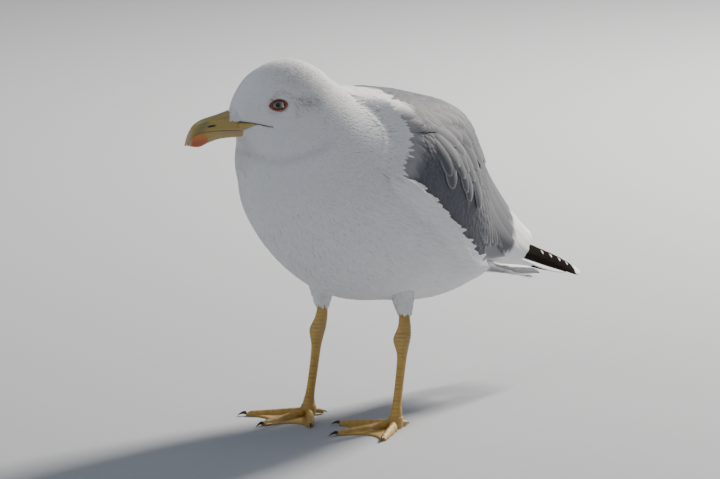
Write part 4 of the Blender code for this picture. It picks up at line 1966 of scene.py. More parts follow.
@dataclass
class Overlap:
    """White feathers that leave the body and lie over the folded wing's front and lower edges."""

    side: int
    cape_lengths: tuple[float, float] = (8.5, 15.0)
    cape_half_width: float = 1.25
    flank_length: float = 12.0
    flank_half_width: float = 1.4

    def cape(self) -> Tract:
        """Neck and breast feathers over the wing's front edge.

        Returns:
            The feathers.
        """
        sheet = cape_sheet(self.side)
        u, v = rows_on(sheet, lambda at: 1.9 + 0 * at, lambda at: 1.15 + 0 * at, 91)
        rng = np.random.default_rng(92)
        wanted = u < 0.45 + 0.10 * (1 - smooth_step(v, 0.10, 0.42)) + rng.uniform(-0.06, 0.05, len(u))
        wanted &= (v > 0.10) & (u > 0.30 * (1 - smooth_step(v, 0.10, 0.30)))
        u, v = u[wanted], v[wanted]
        return Tract(
            sheet, Outline.ROUND, u, v, length=rng.uniform(*self.cape_lengths, len(u)),
            half_width=self.cape_half_width, turn=rng.normal(0, 0.14, len(u)), rise=-1.8,
            stand=0.1 + rng.uniform(-0.2, 0.3, len(u)), camber=0.1, rows=6, columns=3,
        )

    def flank(self) -> Tract:
        """Breast and flank feathers over the wing's lower edge, in larger lobes towards the rear.

        Returns:
            The feathers.
        """
        sheet = flank_sheet(self.side)
        u, v = rows_on(sheet, lambda at: 2.4 + 1.6 * at, lambda at: 1.3 + 1.3 * at, 93)
        wanted = (v > 0.40 + 0.16 * smooth_step(u, 0.74, 0.86)) & (v < 0.97) & (u < 0.93)
        u, v = u[wanted], v[wanted]
        rng = np.random.default_rng(94)
        lobe = 0.5 + 0.5 * np.sin(u * 23)
        return Tract(
            sheet, Outline.ROUND, u, v,
            length=self.flank_length * (1 + u) + 3 * lobe + rng.uniform(-2, 2, len(u)),
            half_width=self.flank_half_width + 1.5 * u,
            turn=-0.20 - 0.22 * u + 0.30 * smooth_step(u, 0.72, 0.88) + rng.normal(0, 0.08, len(u)),
            bend=-0.08, rise=-2.0, stand=0.4 * u + rng.uniform(-0.2, 0.3, len(u)), camber=0.2,
        )

    def build(self) -> list[Piece]:
        """Both pieces.

        Returns:
            The pieces.
        """
        side, patch = SIDES[self.side], WING_PATCH[self.side]
        return [
            feather_piece(f"{side}_{title}", tract, white(62, 0.03), patch, WHITE_FEATHER)
            for title, tract in (("cape", self.cape()), ("flank", self.flank()))
        ]


@dataclass
class Saddle:
    """Grey mantle feathers over the backbone, which close the gap between the folded wings."""

    rows: int = 26
    columns: int = 4
    feather: tuple[float, float] = (20.0, 7.5)  # length and half-width
    blade: tuple[float, float] = (128.0, 8.0)
    coat: WingCoat = field(default_factory=lambda: WingCoat(1))

    def tract(self) -> Tract:
        """Rounded feathers in staggered rows that all point back.

        Returns:
            The feathers.
        """
        u, v, _ = staggered((0.0, 0.58), (0.10, 0.90), self.rows, self.columns, 33)
        rng = np.random.default_rng(34)
        return Tract(
            saddle_sheet(), Outline.CONTOUR, u, v, length=self.feather[0] + 22 * u,
            half_width=self.feather[1], turn=0.0, rise=-2.0,
            stand=0.2 + rng.uniform(-0.2, 0.2, len(u)), camber=0.6,
        )

    def colour(self, tract: Tract, grid: Array, s: Array, t: Array) -> Array:
        """The wings' grey, with the neck's white at the front."""
        collar = self.coat.collar(0.02 + 0.96 * tract.u, 0 * tract.u, s)
        return blend(self.coat.grey(tract, grid, s, t), WHITE, collar)

    def blades(self) -> Tract:
        """The innermost tertials, which close the gap over the rump.

        Returns:
            The feathers.
        """
        place = np.linspace(0, 1, 3)
        return Tract(
            saddle_sheet(), Outline.BLADE, u=0.56 + 0.02 * place, v=0.36 + 0.14 * place,
            length=self.blade[0] + 6 * place, half_width=self.blade[1], turn=0.0, rise=-1.6,
            stand=-0.8 + 0.4 * place, camber=0.6, rows=24, columns=7,
        )

    def blade_colour(self, tract: Tract, grid: Array, s: Array, t: Array) -> Array:
        """Grey with the broad white end of the tertials beside them."""
        return blend(self.coat.grey(tract, grid, s, t), WHITE, smooth_step(s - 0.02 * np.abs(t), 0.60, 0.65))

    def build(self) -> list[Piece]:
        """The feathers over the backbone and the blades behind them.

        Returns:
            The pieces.
        """
        return [
            feather_piece(name, tract, colour, SADDLE_PATCH, GREY_FEATHER, "grey_plumage")
            for name, tract, colour in (
                ("saddle", self.tract(), self.colour),
                ("rump_tertials", self.blades(), self.blade_colour),
            )
        ]


PRIMARY_LINE = (
    (25, 160, 124, 9),
    (22, 195, 115.5, 9.5),
    (18.5, 230, 104, 10.5),
    (16.5, 262, 93.5, 8.5),
    (11.5, 291, 83, 5.5),
)
PRIMARY_ROLL = math.radians(50)


def primary_sheet(side: int, rows: int = 60, columns: int = 24) -> Sheet:
    """The plane of a wing's folded primaries, sloping with the flank. v runs from its upper edge down.

    Args:
        side, rows, columns: 1 for left, -1 for right, and the grid's size.

    Returns:
        The sheet.
    """
    line = drawn(PRIMARY_LINE, rows)
    across = np.array([math.cos(PRIMARY_ROLL), 0, -math.sin(PRIMARY_ROLL)])
    t = np.linspace(-1, 1, columns)[None, :, None]
    points = line[:, None, :3] + np.maximum(line[:, None, 3:4], 6.0) * t * across
    return Sheet(mirrored(points, side), flip=side < 0)


@dataclass
class Primaries:
    """The black wingtip: six folded blades with stepped white-edged tips."""

    side: int
    count: int = 6
    blade: tuple[float, float] = (141.0, 6.9)  # the longest blade's length and half-width
    inner_vane: tuple[float, float] = (118.0, 4.2)
    blade_thickness: float = 0.35
    vane_thickness: float = 0.3
    large_tip: float = 15.0
    small_tip: float = 2.6

    def tract(self) -> Tract:
        """The blades, the longest lowest and the shortest on top.

        Returns:
            The feathers.
        """
        step = np.arange(self.count) / (self.count - 1)
        return Tract(
            primary_sheet(self.side), Outline.BLADE, u=0 * step, v=0.54 - 0.10 * step,
            length=self.blade[0] - 66 * step, half_width=self.blade[1] - 0.3 * step,
            turn=-0.02 * step, bend=-0.01, rise=-1.3 + 2.1 * step, stand=-0.5 + 1.9 * step,
            camber=1.3, rows=26, columns=9,
        )

    def colour(self, tract: Tract, grid: Array, s: Array, t: Array) -> Array:
        """Brown-black, paler at the fringe, with a white tip that is largest on the longest blade.

        Args:
            tract, grid, s, t: as feather_piece gives them.

        Returns:
            Linear colours.
        """
        length = tract.length[:, None, None]
        rank = np.arange(self.count)[:, None, None]
        size = np.where(rank == 0, self.large_tip, self.small_tip)
        from_tip = length * (1 - s) + 3.0 * (np.abs(t) ** 2)
        tip = (1 - smooth_step(from_tip, size - 0.8, size + 0.8))[..., None]
        fringe = (0.25 * smooth_step(np.abs(t), 0.85, 1.0))[..., None]
        shade = BLACK * (1 + fringe * 3)
        return shade * (1 - tip) + WHITE * tip

    def under(self) -> Tract:
        """The pale inner vanes under the black blades, shown along their lower edge and from within.

        Returns:
            The feathers.
        """
        place = np.linspace(0, 1, 7)
        return Tract(
            primary_sheet(self.side), Outline.CONTOUR, u=0.02 + 0.12 * place,
            v=0.30 + 0.58 * place, length=self.inner_vane[0] - 24 * place,
            half_width=self.inner_vane[1] + 0.4 * place, turn=0.0, rise=-3.4 + 0.2 * place,
            stand=-2.9 + 0.4 * place, camber=0.3, rows=18, columns=5,
        )

    def build(self) -> list[Piece]:
        """The blades as thin closed vanes.

        Returns:
            The pieces.
        """
        side, patch = SIDES[self.side], WING_PATCH[self.side]
        black = (self.colour, patch, BLACK_FEATHER, "black_plumage")
        tip = thickened(feather_piece(f"{side}_wingtip", self.tract(), *black), self.blade_thickness)
        edge = feather_piece(f"{side}_wing_edge", self.under(), white(), patch, WHITE_FEATHER)
        return [tip, thickened(edge, self.vane_thickness)]


def thickened(piece: Piece, depth: float) -> Piece:
    """Gives a piece of blades a thickness in mm, under their upper faces.

    Args:
        piece, depth: the blades and their thickness in mm.

    Returns:
        The piece.
    """
    solid = piece.modifiers.new("thickness", "SOLIDIFY")
    solid.thickness = depth * MM
    solid.offset = -1
    return piece


def undertail_sheet(rows: int = 60, columns: int = 40) -> Sheet:
    """The tail's lower face, deeper at its root.

    Args:
        rows, columns: the grid's size.

    Returns:
        The sheet.
    """
    t = column(-0.15, 1, rows)
    across = column(-1, 1, columns).T
    thick = 7.0 - 5.6 * np.clip(t, 0, 1) + 6.0 * np.clip(-t, 0, 1)
    half = 19 + 12 * t
    half_thick = 0.4 + (thick / 2 - 0.4) * np.sqrt(np.maximum(1 - across**4, 0))
    x = half * across
    y = 150 + 84 * t - 12 * t * across**2
    z = 106 - 15 * t - 5.5 * t * across**2 - half_thick
    return Sheet(np.stack([x, y, z], axis=2), flip=True)


@dataclass
class Tail:
    """Twelve tail feathers and the coverts over and under their roots."""

    feathers: int = 12
    feather: tuple[float, float] = (93.0, 8.6)  # length and half-width
    covert: tuple[float, float] = (24.0, 6.0)
    thickness: float = 0.4

    def rectrices(self) -> Tract:
        """The long feathers, the middle pair on top.

        Returns:
            The feathers.
        """
        place = (np.arange(self.feathers) - (self.feathers - 1) / 2) / ((self.feathers - 1) / 2)
        aside = np.abs(place)
        return Tract(
            tail_sheet(), Outline.BLADE, u=0.0 * place, v=0.5 + 0.37 * place,
            length=self.feather[0] - 9 * aside**2, half_width=self.feather[1],
            rise=-0.6 - 1.6 * aside, stand=-0.1 - 0.9 * aside, camber=0.3, rows=18, columns=7,
        )

    def coverts(self, under: bool) -> Tract:
        """Soft white feathers over the tail's root.

        Args:
            under: whether they lie under the tail.

        Returns:
            The feathers.
        """
        sheet = undertail_sheet() if under else tail_sheet()
        span = (0.0, 0.55) if under else (-0.1, 0.3)
        u, v, _ = staggered(span, (0.04, 0.96), 9 if under else 7, 9, 71 + under)
        rng = np.random.default_rng(72)
        return Tract(
            sheet, Outline.CONTOUR, u, v, length=self.covert[0] * rng.uniform(0.85, 1.15, len(u)),
            half_width=self.covert[1], rise=-1.0, stand=0.6 + rng.uniform(-0.2, 0.3, len(u)),
            camber=0.8, rows=8, columns=5,
        )

    def colour(self, tract: Tract, grid: Array, s: Array, t: Array) -> Array:
        """White, a little darker towards each feather's side edges."""
        return WHITE * (1 - 0.05 * np.abs(t)[..., None]) * vary(grid.shape, 73, 0.02)

    def build(self) -> list[Piece]:
        """The tail's pieces.

        Returns:
            The pieces.
        """
        common = (self.colour, TAIL_PATCH, WHITE_FEATHER)
        blades = thickened(feather_piece("tail_feathers", self.rectrices(), *common), self.thickness)
        upper = feather_piece("tail_coverts", self.coverts(False), *common)
        return [blades, upper, feather_piece("undertail_coverts", self.coverts(True), *common)]


@dataclass
class ThighCoat:
    """Short white feathers down a thigh, ending over the bare leg."""

    side: int
    lengths: tuple[float, float] = (6.5, 9.0)
    half_width: float = 1.4

    def build(self) -> Piece:
        """The thigh's coat.

        Returns:
            The piece.
        """
        sheet = tube_sheet(THIGH, self.side, 0.0, 60, 60)
        u, v = rows_on(sheet, lambda at: 1.9 + 0 * at, lambda at: 1.7 + 0 * at, 81)
        rng = np.random.default_rng(82)
        tract = Tract(
            sheet, Outline.TUFT, u, v, length=rng.uniform(*self.lengths, len(u)),
            half_width=self.half_width, turn=rng.normal(0, 0.1, len(u)), rise=-1.7,
            stand=0.1 + rng.uniform(-0.2, 0.4, len(u)), camber=0.3, rows=5, columns=3,
        )
        name = f"{SIDES[self.side]}_thigh_plumage"
        return feather_piece(name, tract, white(83, 0.04), THIGH_PATCH[self.side], WHITE_FEATHER)


# ---------------------------------------------------------------- bill, gape, eyes and claws


BILL_YELLOW = np.array((0.50, 0.375, 0.11))
BILL_OLIVE = np.array((0.25, 0.235, 0.11))
BILL_TAN = np.array((0.50, 0.33, 0.14))
BILL_TIP = np.array((0.60, 0.46, 0.28))
GONYS_RED = np.array((0.50, 0.085, 0.02))
GONYS_ORANGE = np.array((0.66, 0.22, 0.04))
# the nostril's opening, painted as shade
NOSTRIL_SHADE = np.array((0.02, 0.014, 0.01))
MOUTH_PINK = np.array((0.42, 0.27, 0.20))


@dataclass
class Bill:
    """Both halves of the bill: hooked above, angled below, with a slit nostril and a red spot."""

    rows: int = 150
    columns: int = 56
    nostril_place: tuple[float, float] = (33.4, 256.8)
    nostril_half: tuple[float, float] = (4.4, 0.95)
    spot_place: tuple[float, float] = (45.6, 246.0)
    spot_half: tuple[float, float] = (10.2, 6.4)

    def half(self, upper: bool) -> Shell:
        """One half: half ovals flat along the mouth, y = root - distance, z = mouth + sin(a)^0.85 rise.

        Args:
            upper: whether it is the upper half.

        Returns:
            The shell.
        """
        last = len(BILL) - 1 if upper else LAST_LOWER_STATION
        line = read_smoothly(BILL, np.linspace(0, last, self.rows))
        distance, ridge, mouth, keel, half = (line[:, k : k + 1] for k in range(5))
        half = half * (1 - 0.26 * smooth_step(distance, 36, 53))
        sign = 1 if upper else -1
        angle = column(0, math.pi, self.columns).T
        flat = mouth + sign * 0.12
        rise = np.abs((ridge if upper else keel) - flat)
        wide = half if upper else 0.9 * half
        lip = 1 + 0.05 * hump(np.sin(angle) / 0.16)
        x = wide * np.cos(angle) * lip
        z = flat + sign * np.sin(angle) ** 0.85 * rise
        groove = self.slit(distance, z) if upper else 0 * z
        x = x * (1 - 0.13 * groove)
        x = x * (1 - 0.035 * hump((z - 255.2) / 0.9) * smooth_step(distance, 4, 9))
        y = BILL_ROOT_Y - distance + 1.4 * smooth_step(distance, 30, 52)
        grid = turned(np.stack([x, y + 0 * x, z], axis=2))
        return Shell.capped(grid, not upper, self.colour(distance + 0 * z, z, groove, upper))

    def slit(self, distance: Array, z: Array) -> Array:
        """1 inside the nostril, a long low oval, and 0 outside.

        Args:
            distance, z: mm from the face and height.

        Returns:
            The share at each place.
        """
        (ahead, high), (long, tall) = self.nostril_place, self.nostril_half
        away = ((distance - ahead) / long) ** 2 + ((z - high + 0.07 * (distance - ahead)) / tall) ** 2
        return 1 - smooth_step(away, 0.55, 1.3)

    def colour(self, distance: Array, z: Array, groove: Array, upper: bool) -> Array:
        """Olive yellow, paler at the tip, with painted shade in the nostril slit, and red at the angle below.

        Args:
            distance, z, groove, upper: mm from the face, height, the nostril's share, and which half
                it is.

        Returns:
            Linear colours.
        """
        coarse, fine = np.sin(z * 2.3 + 1.3 * np.sin(distance * 0.31)), np.sin(z * 5.1 + distance * 0.23)
        grain = 0.95 + 0.04 * coarse + 0.03 * fine
        if upper:
            tan = hump((distance - 13) / 4.5) * smooth_step(z, 256.5, 259)
            ridge = 0.45 * smooth_step(z, 259.5, 262.5) * (1 - smooth_step(distance, 36, 46))
            hook = 0.85 * hump((distance - 45 + (z - 253) * 0.8) / 5.0)
            base = blend(blend(BILL_YELLOW, BILL_TAN, tan), BILL_OLIVE, np.maximum(ridge, hook))
            base = blend(base, BILL_TIP, smooth_step(distance + (z - 250) * 0.25, 50.5, 54.5))
            # painted shade in the nostril slit, which is only a shallow groove
            return blend(base * grain[..., None], NOSTRIL_SHADE, groove)
        pink = smooth_step(z, 248.6, 249.6) * (1 - smooth_step(distance, 20, 27))
        base = blend(BILL_YELLOW, MOUTH_PINK, 0.8 * pink) * grain[..., None]
        (ahead, low), (long, tall) = self.spot_place, self.spot_half
        away = ((distance - ahead) / long) ** 2 + ((z - low) / tall) ** 2
        warm = smooth_step(z, 243.5, 250)
        base = blend(base, blend(GONYS_RED, GONYS_ORANGE, warm), 0.96 * (1 - smooth_step(away, 0.55, 1.2)))
        return blend(base, BILL_TIP, 0.8 * smooth_step(distance, 50.0, 53.5))

    def build(self) -> list[Piece]:
        """Both halves as pieces in place of the solids' own.

        Returns:
            The pieces.
        """
        made = []
        for upper, node in ((True, "upper_bill"), (False, "lower_bill")):
            shell = self.half(upper)
            piece = shell.piece(f"{node}_horn", HORN, "bill")
            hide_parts(node)
            made.append(piece)
        return made


@dataclass
class Gape:
    """The horny corner of the mouth: a yellow wedge that runs back on the cheek, ending in a crease painted
    dark as shade.
    """

    side: int
    root: float = -133.6
    start: float = -137.5
    wedge_end: float = -125.0
    crease_end: float = -113.5

    @classmethod
    def middle(cls, y: Array) -> Array:
        """The height of the patch's middle line in mm, by place along the straight head."""
        rise = 254.4 + 1.3 * smooth_step(y, cls.root, cls.wedge_end)
        return rise - 2.4 * smooth_step(y, cls.wedge_end, cls.crease_end)

    @classmethod
    def half_height(cls, y: Array) -> Array:
        """Half the patch's height in mm: a wedge that narrows to the crease."""
        wedge = np.clip((cls.wedge_end - y) / (cls.wedge_end - cls.root), 0, 1)
        return 0.33 + 3.3 * wedge**0.9

    @classmethod
    def covers(cls, points: Array, margin: float) -> Array:
        """True for points of the bird whose side view lies on the patch, grown by a margin in mm.

        Args:
            points, margin: places in mm, and by how much the patch is grown.

        Returns:
            A mask of the places.
        """
        straight = turned(points, -HEAD_TURN)
        y, z = straight[..., 1], straight[..., 2]
        return (y < cls.crease_end) & (np.abs(z - cls.middle(y)) < cls.half_height(y) + margin)

    def on_cheek(self, y: Array, z: Array) -> tuple[Array, Array]:
        """Points of the cheek, and their normals, at places of the straight head's side view.

        Args:
            y, z: places on the straight head's side view.

        Returns:
            Points and unit normals.
        """
        flat = BODY.points[: int(len(BODY.points) * 8 / LAST_RING)].reshape(-1, 3)
        straight = turned(flat, -HEAD_TURN)
        ours = np.flatnonzero(straight[:, 0] * self.side > 2)
        normals = BODY.stack[..., 3:6].reshape(-1, 3)
        place = np.stack([y.ravel(), z.ravel()], axis=1)
        near, weight = nearest_six(place, straight[ours][:, 1:])
        normal = unit((normals[ours][near] * weight[..., None]).sum(axis=1))
        width = (straight[ours][near][..., 0] * weight).sum(axis=1)
        point = turned(np.stack([width, place[:, 0], place[:, 1]], axis=1))
        return point.reshape(y.shape + (3,)), normal.reshape(y.shape + (3,))

    def build(self) -> Piece:
        """A low closed patch from inside the bill's root, with painted shade along its upper edge and in its
        crease.

        Returns:
            The piece.
        """
        t = column(0, 1, 80)
        w = column(-1, 1, 19).T
        y = self.start + (self.crease_end - self.start) * t + 0 * w
        wedge = np.clip((self.wedge_end - y) / (self.wedge_end - self.root), 0, 1)
        point, normal = self.on_cheek(np.maximum(y, self.root), self.middle(y) + self.half_height(y) * w)
        before = np.maximum(self.root - y, 0)[..., None]
        point = point + before * (HEAD_AHEAD - 0.16 * normal)
        swell = np.sqrt(np.maximum(1 - w**2, 0)) * (0.30 + 0.45 * wedge) * (1 - 0.9 * smooth_step(t, 0.93, 1))
        outer = point + normal * (0.05 + swell - 0.9 * smooth_step(self.root - y, 0.6, 3.6))[..., None]
        inner = point - normal * 1.9
        # painted shade: dark along the upper edge, under the face's overhanging feathers, and in the crease
        # behind the wedge
        upper = np.maximum(smooth_step(w + 0 * t, 0.55, 0.9), 1 - smooth_step(wedge, 0.0, 0.10))
        lower = smooth_step(-w + 0 * t, 0.55, 0.8) * smooth_step(wedge, 0.05, 0.3)
        tint = blend(blend(BILL_YELLOW * 0.95, MOUTH_PINK, lower), LID + 0.02, 0.9 * upper)
        shell = Shell.double(outer, inner, self.side > 0, tint)
        return shell.piece(f"{SIDES[self.side]}_gape", RING_SKIN, "bill")


def frons_sheet(rows: int = 50, columns: int = 60) -> Sheet:
    """The upper bill's root, running back from the nostrils: v goes over it from right to left.

    Args:
        rows, columns: the grid's size.

    Returns:
        The sheet.
    """
    at = np.linspace(1.9, 0.0, rows)
    line = read_smoothly(BILL, at)
    angle = column(math.pi, 0, columns).T
    distance, ridge, mouth, _, half = (line[:, k : k + 1] for k in range(5))
    z = mouth + np.sin(angle) ** 0.85 * (ridge - mouth)
    x = half * np.cos(angle)
    return Sheet(turned(np.stack([x, BILL_ROOT_Y - distance + 0 * x, z], axis=2)))


@dataclass
class Frons:
    """The tiny stiff feathers that run forward over the root of the bill."""

    lengths: tuple[float, float] = (2.6, 3.6)
    half_width: float = 0.36

    def tract(self) -> Tract:
        """Roots from a slanting front line back to the face, above the mouth's yellow wedge.

        Returns:
            The feathers.
        """
        sheet = frons_sheet()
        u, v = rows_on(sheet, lambda at: 0.75 + 0 * at, lambda at: 0.62 + 0 * at, 101)
        place = turned(sheet.sample(u, v)[0], -HEAD_TURN)
        distance, z = BILL_ROOT_Y - place[:, 1], place[:, 2]
        front = 14.2 + (265.7 - z) * 0.53
        border = 258.2 + 0.16 * np.maximum(distance - 8.4, 0)
        rng = np.random.default_rng(102)
        wanted = distance < front + rng.uniform(-0.5, 0.5, len(u))
        wanted &= z > border + rng.uniform(-0.3, 0.3, len(u))
        u, v, near = u[wanted], v[wanted], distance[wanted]
        back = 1 - smooth_step(near, 5, 12)
        return Tract(
            sheet, Outline.TUFT, u, v, length=rng.uniform(*self.lengths, len(u)),
            half_width=self.half_width, turn=rng.normal(0, 0.12, len(u)), rise=0.3 * back,
            stand=0.45 + 0.35 * back + rng.uniform(-0.1, 0.15, len(u)), camber=0.08, rows=5,
            columns=3,
        )

    def build(self) -> Piece:
        """The frons as one piece."""
        return feather_piece("frons_plumage", self.tract(), white(103, 0.05), FRONS_PATCH, WHITE_FEATHER)


# the iris is painted brighter than its own pale yellow, as painted light that makes up for the light the
# glass cornea keeps from it
IRIS = np.array((1.0, 0.94, 0.60))
RING_RED = np.array((0.34, 0.050, 0.020))
RING_DARK = np.array((0.10, 0.028, 0.018))
LID = np.array((0.022, 0.017, 0.015))


@dataclass
class Eye:
    """An eye: a ball with a recessed iris, a clear cornea, a dark lid edge and a red ring of bare skin."""

    side: int
    iris: float = 4.6
    pupil: float = 1.9
    opening: tuple[float, float] = (5.0, 3.15)
    ring: tuple[float, float] = (6.1, 3.85)
    lid_radius: float = 0.42
    ring_radius: float = 0.85
    axes: EyeAxes = field(init=False)
    cheek: Array = field(init=False)
    ball_out: float = field(init=False)

    def __post_init__(self) -> None:
        """Seats the eye in the cheek round it."""
        self.axes = EYE_AXES[self.side]
        near = BODY.points[self.axes.share(BODY.points, (15.0, 15.0)) < 1]
        self.cheek = np.stack(self.axes.place(near), axis=1)
        rim = np.abs(np.hypot(self.cheek[:, 0], self.cheek[:, 1]) - 6.5) < 1
        depth = self.cheek[rim, 2].mean()
        self.ball_out = depth - 0.5 - math.sqrt(EYE_RADIUS**2 - self.opening[0] ** 2)
        log.info("eye %s: cheek lies %.2f mm out, axis %s", SIDES[self.side], depth, self.axes.out.round(2))

    def frame(self, x: Array, y: Array, z: Array) -> Array:
        """Points x mm ahead, y above and z out from the ball's middle.

        Args:
            x, y, z: mm ahead, above and out.

        Returns:
            The places in mm.
        """
        axes = self.axes
        out = (z + self.ball_out)[..., None] * axes.out
        return axes.centre + x[..., None] * axes.ahead + y[..., None] * axes.above + out

    def lid_height(self, x: Array, y: Array) -> Array:
        """How far out of the ball's middle the bare skin lies at places round the eye, in mm.

        It is the cheek's height, as a weighted mean of its nearest points, or the ball's where that is more.

        Args:
            x, y: mm ahead of the eye's axis and above it.

        Returns:
            A height for each place.
        """
        place = np.stack([x.ravel(), y.ravel()], axis=1)
        near, weight = nearest_six(place, self.cheek[:, :2])
        cheek = (self.cheek[near, 2] * weight).sum(axis=1) - self.ball_out
        ball = np.sqrt(np.maximum(EYE_RADIUS**2 - (place**2).sum(axis=1), 0))
        return np.maximum(cheek, ball - 0.25).reshape(x.shape)

    def ball(self) -> Piece:
        """The eyeball, with the iris as a shallow bowl round the pupil.

        Returns:
            The piece.
        """
        theta = np.concatenate([np.linspace(0.004, 0.75, 60), np.linspace(0.78, math.pi - 0.02, 40)])[:, None]
        phi = angles(72)
        r = EYE_RADIUS * np.sin(theta)
        rim = math.sqrt(EYE_RADIUS**2 - (self.iris + 0.15) ** 2)
        inner = r < self.iris + 0.15
        hole = 1 - smooth_step(r, self.pupil - 0.1, self.pupil + 0.15)
        bowl = rim - 0.55 * (1 - (r / self.iris) ** 2) - 0.5 * hole
        z = np.where(inner & (theta < 1.5), bowl, EYE_RADIUS * np.cos(theta))
        grid = self.frame(r * np.cos(phi), r * np.sin(phi), z + 0 * phi)
        rays = 0.88 + 0.10 * np.sin(phi * 31 + r * 2.2) + 0.07 * np.sin(phi * 57 - r * 3.1)
        edge = 1 - 0.55 * smooth_step(r, self.iris - 1.0, self.iris)
        edge = smooth_step(r, self.pupil, self.pupil + 0.9) * edge
        colour = IRIS * (rays * (0.62 + 0.38 * edge))[..., None]
        shown = 1 - smooth_step(r, self.iris - 0.05, self.iris + 0.2)
        shown = smooth_step(r, self.pupil - 0.08, self.pupil + 0.08) * shown
        shown = (shown * (theta < 1.5) + 0 * phi)[..., None]
        tint = LID * (1 - shown) + colour * shown
        shell = Shell.capped(grid, self.side > 0, tint)
        name = f"{SIDES[self.side]}_eyeball"
        piece = shell.piece(name, EYE_WET, "eye")
        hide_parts(f"{SIDES[self.side]}_eye")
        return piece

    def cornea(self) -> Piece:
        """A clear dome over the iris, as a closed lens.

        Returns:
            The piece.
        """
        r = column(0.01, 1, 26) * (self.iris + 0.5)
        phi = angles(64)
        share = r / (self.iris + 0.5)
        rim = np.sqrt(EYE_RADIUS**2 - (self.iris + 0.5) ** 2)
        outer = rim + 0.08 + 1.9 * (1 - share**2)
        inner = rim + 0.02 + 0.25 * (1 - share**2)
        x, y = r * np.cos(phi), r * np.sin(phi)
        front = self.frame(x, y, outer + 0 * phi)
        rear = self.frame(x[::-1], y[::-1], inner[::-1] + 0 * phi)
        grid = np.concatenate([front, rear])
        shell = Shell.capped(grid, self.side > 0, flat_tint(WHITE, grid))
        return make_piece(f"{SIDES[self.side]}_cornea", shell.points, shell.faces, CORNEA)

    def torus(
        self, size: tuple[float, float], radius: float, out: float, beads: float, name: str
    ) -> Piece:
        """A ring round the eye: an oval of half-axes `size`, drawn out to a corner before and behind.

        Its tube is thickest at the corners and beaded by |sin 23 phi|, red below and behind and dark
        above and ahead.

        Args:
            size, radius, out, beads, name: half-axes, the tube's radius, its height over the skin, the
                beads' share of it and the piece's name.

        Returns:
            The piece.
        """
        phi = angles(200).T
        psi = angles(18)
        corner = 1 + 0.10 * np.cos(phi) ** 10
        thick = radius * (0.88 + beads * np.abs(np.sin(phi * 23)) + 0.35 * np.cos(phi) ** 6)
        reach = np.cos(psi) * thick
        x = (size[0] + reach) * np.cos(phi) * corner
        y = (size[1] + reach) * np.sin(phi) - 0.25 * np.cos(phi)
        line = self.lid_height(size[0] * np.cos(phi) * corner, size[1] * np.sin(phi))
        grid = self.frame(x, y, line + out + np.sin(psi) * thick * 0.8)
        rows, columns = grid.shape[:2]
        quads = grid_faces(rows + 1, columns, wraps=True) % (rows * columns)
        faces = quads if self.side < 0 else quads[:, ::-1]
        dark = 0.75 * smooth_step(np.sin(phi), 0.1, 0.9) + 0.9 * hump((phi - 0.02) / 0.22)
        dark = np.clip(dark + 0.6 * smooth_step(np.cos(psi), 0.5, 1.0), 0, 0.95)
        shade = blend(RING_RED, RING_DARK, dark) if beads else LID + 0 * grid
        return make_piece(name, grid.reshape(-1, 3), faces, RING_SKIN, tint=shade.reshape(-1, 3))

    def build(self) -> list[Piece]:
        """The eye's pieces.

        Returns:
            The pieces.
        """
        name = SIDES[self.side]
        return [
            self.ball(),
            self.cornea(),
            self.torus(self.opening, self.lid_radius, 0.22, 0.0, f"{name}_lid"),
            self.torus(self.ring, self.ring_radius, 0.10, 0.10, f"{name}_orbital_ring"),
        ]


CLAW_CLEARANCE = 0.03
CLAW_BLACK = np.array((0.022, 0.017, 0.014))


@dataclass
class Claws:
    """The small curved claws of one foot."""

    side: int

    def shell(self, toe: str) -> Shell:
        """One claw, ahead of its toe's tip, its point at the floor.

        Args:
            toe: the toe's name.

        Returns:
            The shell.
        """
        angle, length = HIND_TOE if toe == "hind" else TOES[toe]
        centre, ahead, across = Leg(self.side).axes(angle)
        thick = 1.1 if toe == "hind" else 1.5
        t = column(0, 1, 26)
        around = angles(18)
        size = thick * (1 - 0.86 * t**1.3)
        reach = length - 0.6 + (CLAW_LENGTH[toe] + 0.8) * t + 0 * around
        grid = centre + reach[..., None] * ahead + (np.cos(around) * size * 0.8)[..., None] * across
        high = size + 1.0 * np.sin(math.pi * t**0.9) + 0.5 * (1 - t) + np.sin(around) * size
        grid[..., 2] = np.maximum(high, CLAW_CLEARANCE)
        pale = (0.35 * (1 - smooth_step(t, 0.0, 0.25)) + 0 * around)[..., None]
        tint = CLAW_BLACK * (1 - pale) + LEG_PALE * 0.5 * pale
        return Shell.capped(mirrored(grid, self.side), self.side < 0, tint)

    def build(self) -> list[Piece]:
        """Four claws, each in place of its solid.

        Returns:
            The pieces.
        """
        made = []
        for toe in ("outer", "middle", "inner", "hind"):
            shell = self.shell(toe)
            node = f"{SIDES[self.side]}_{toe}_claw"
            piece = shell.piece(f"{node}_horn", CLAW_HORN, "claw")
            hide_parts(node)
            made.append(piece)
        return made


# ---------------------------------------------------------------- stage


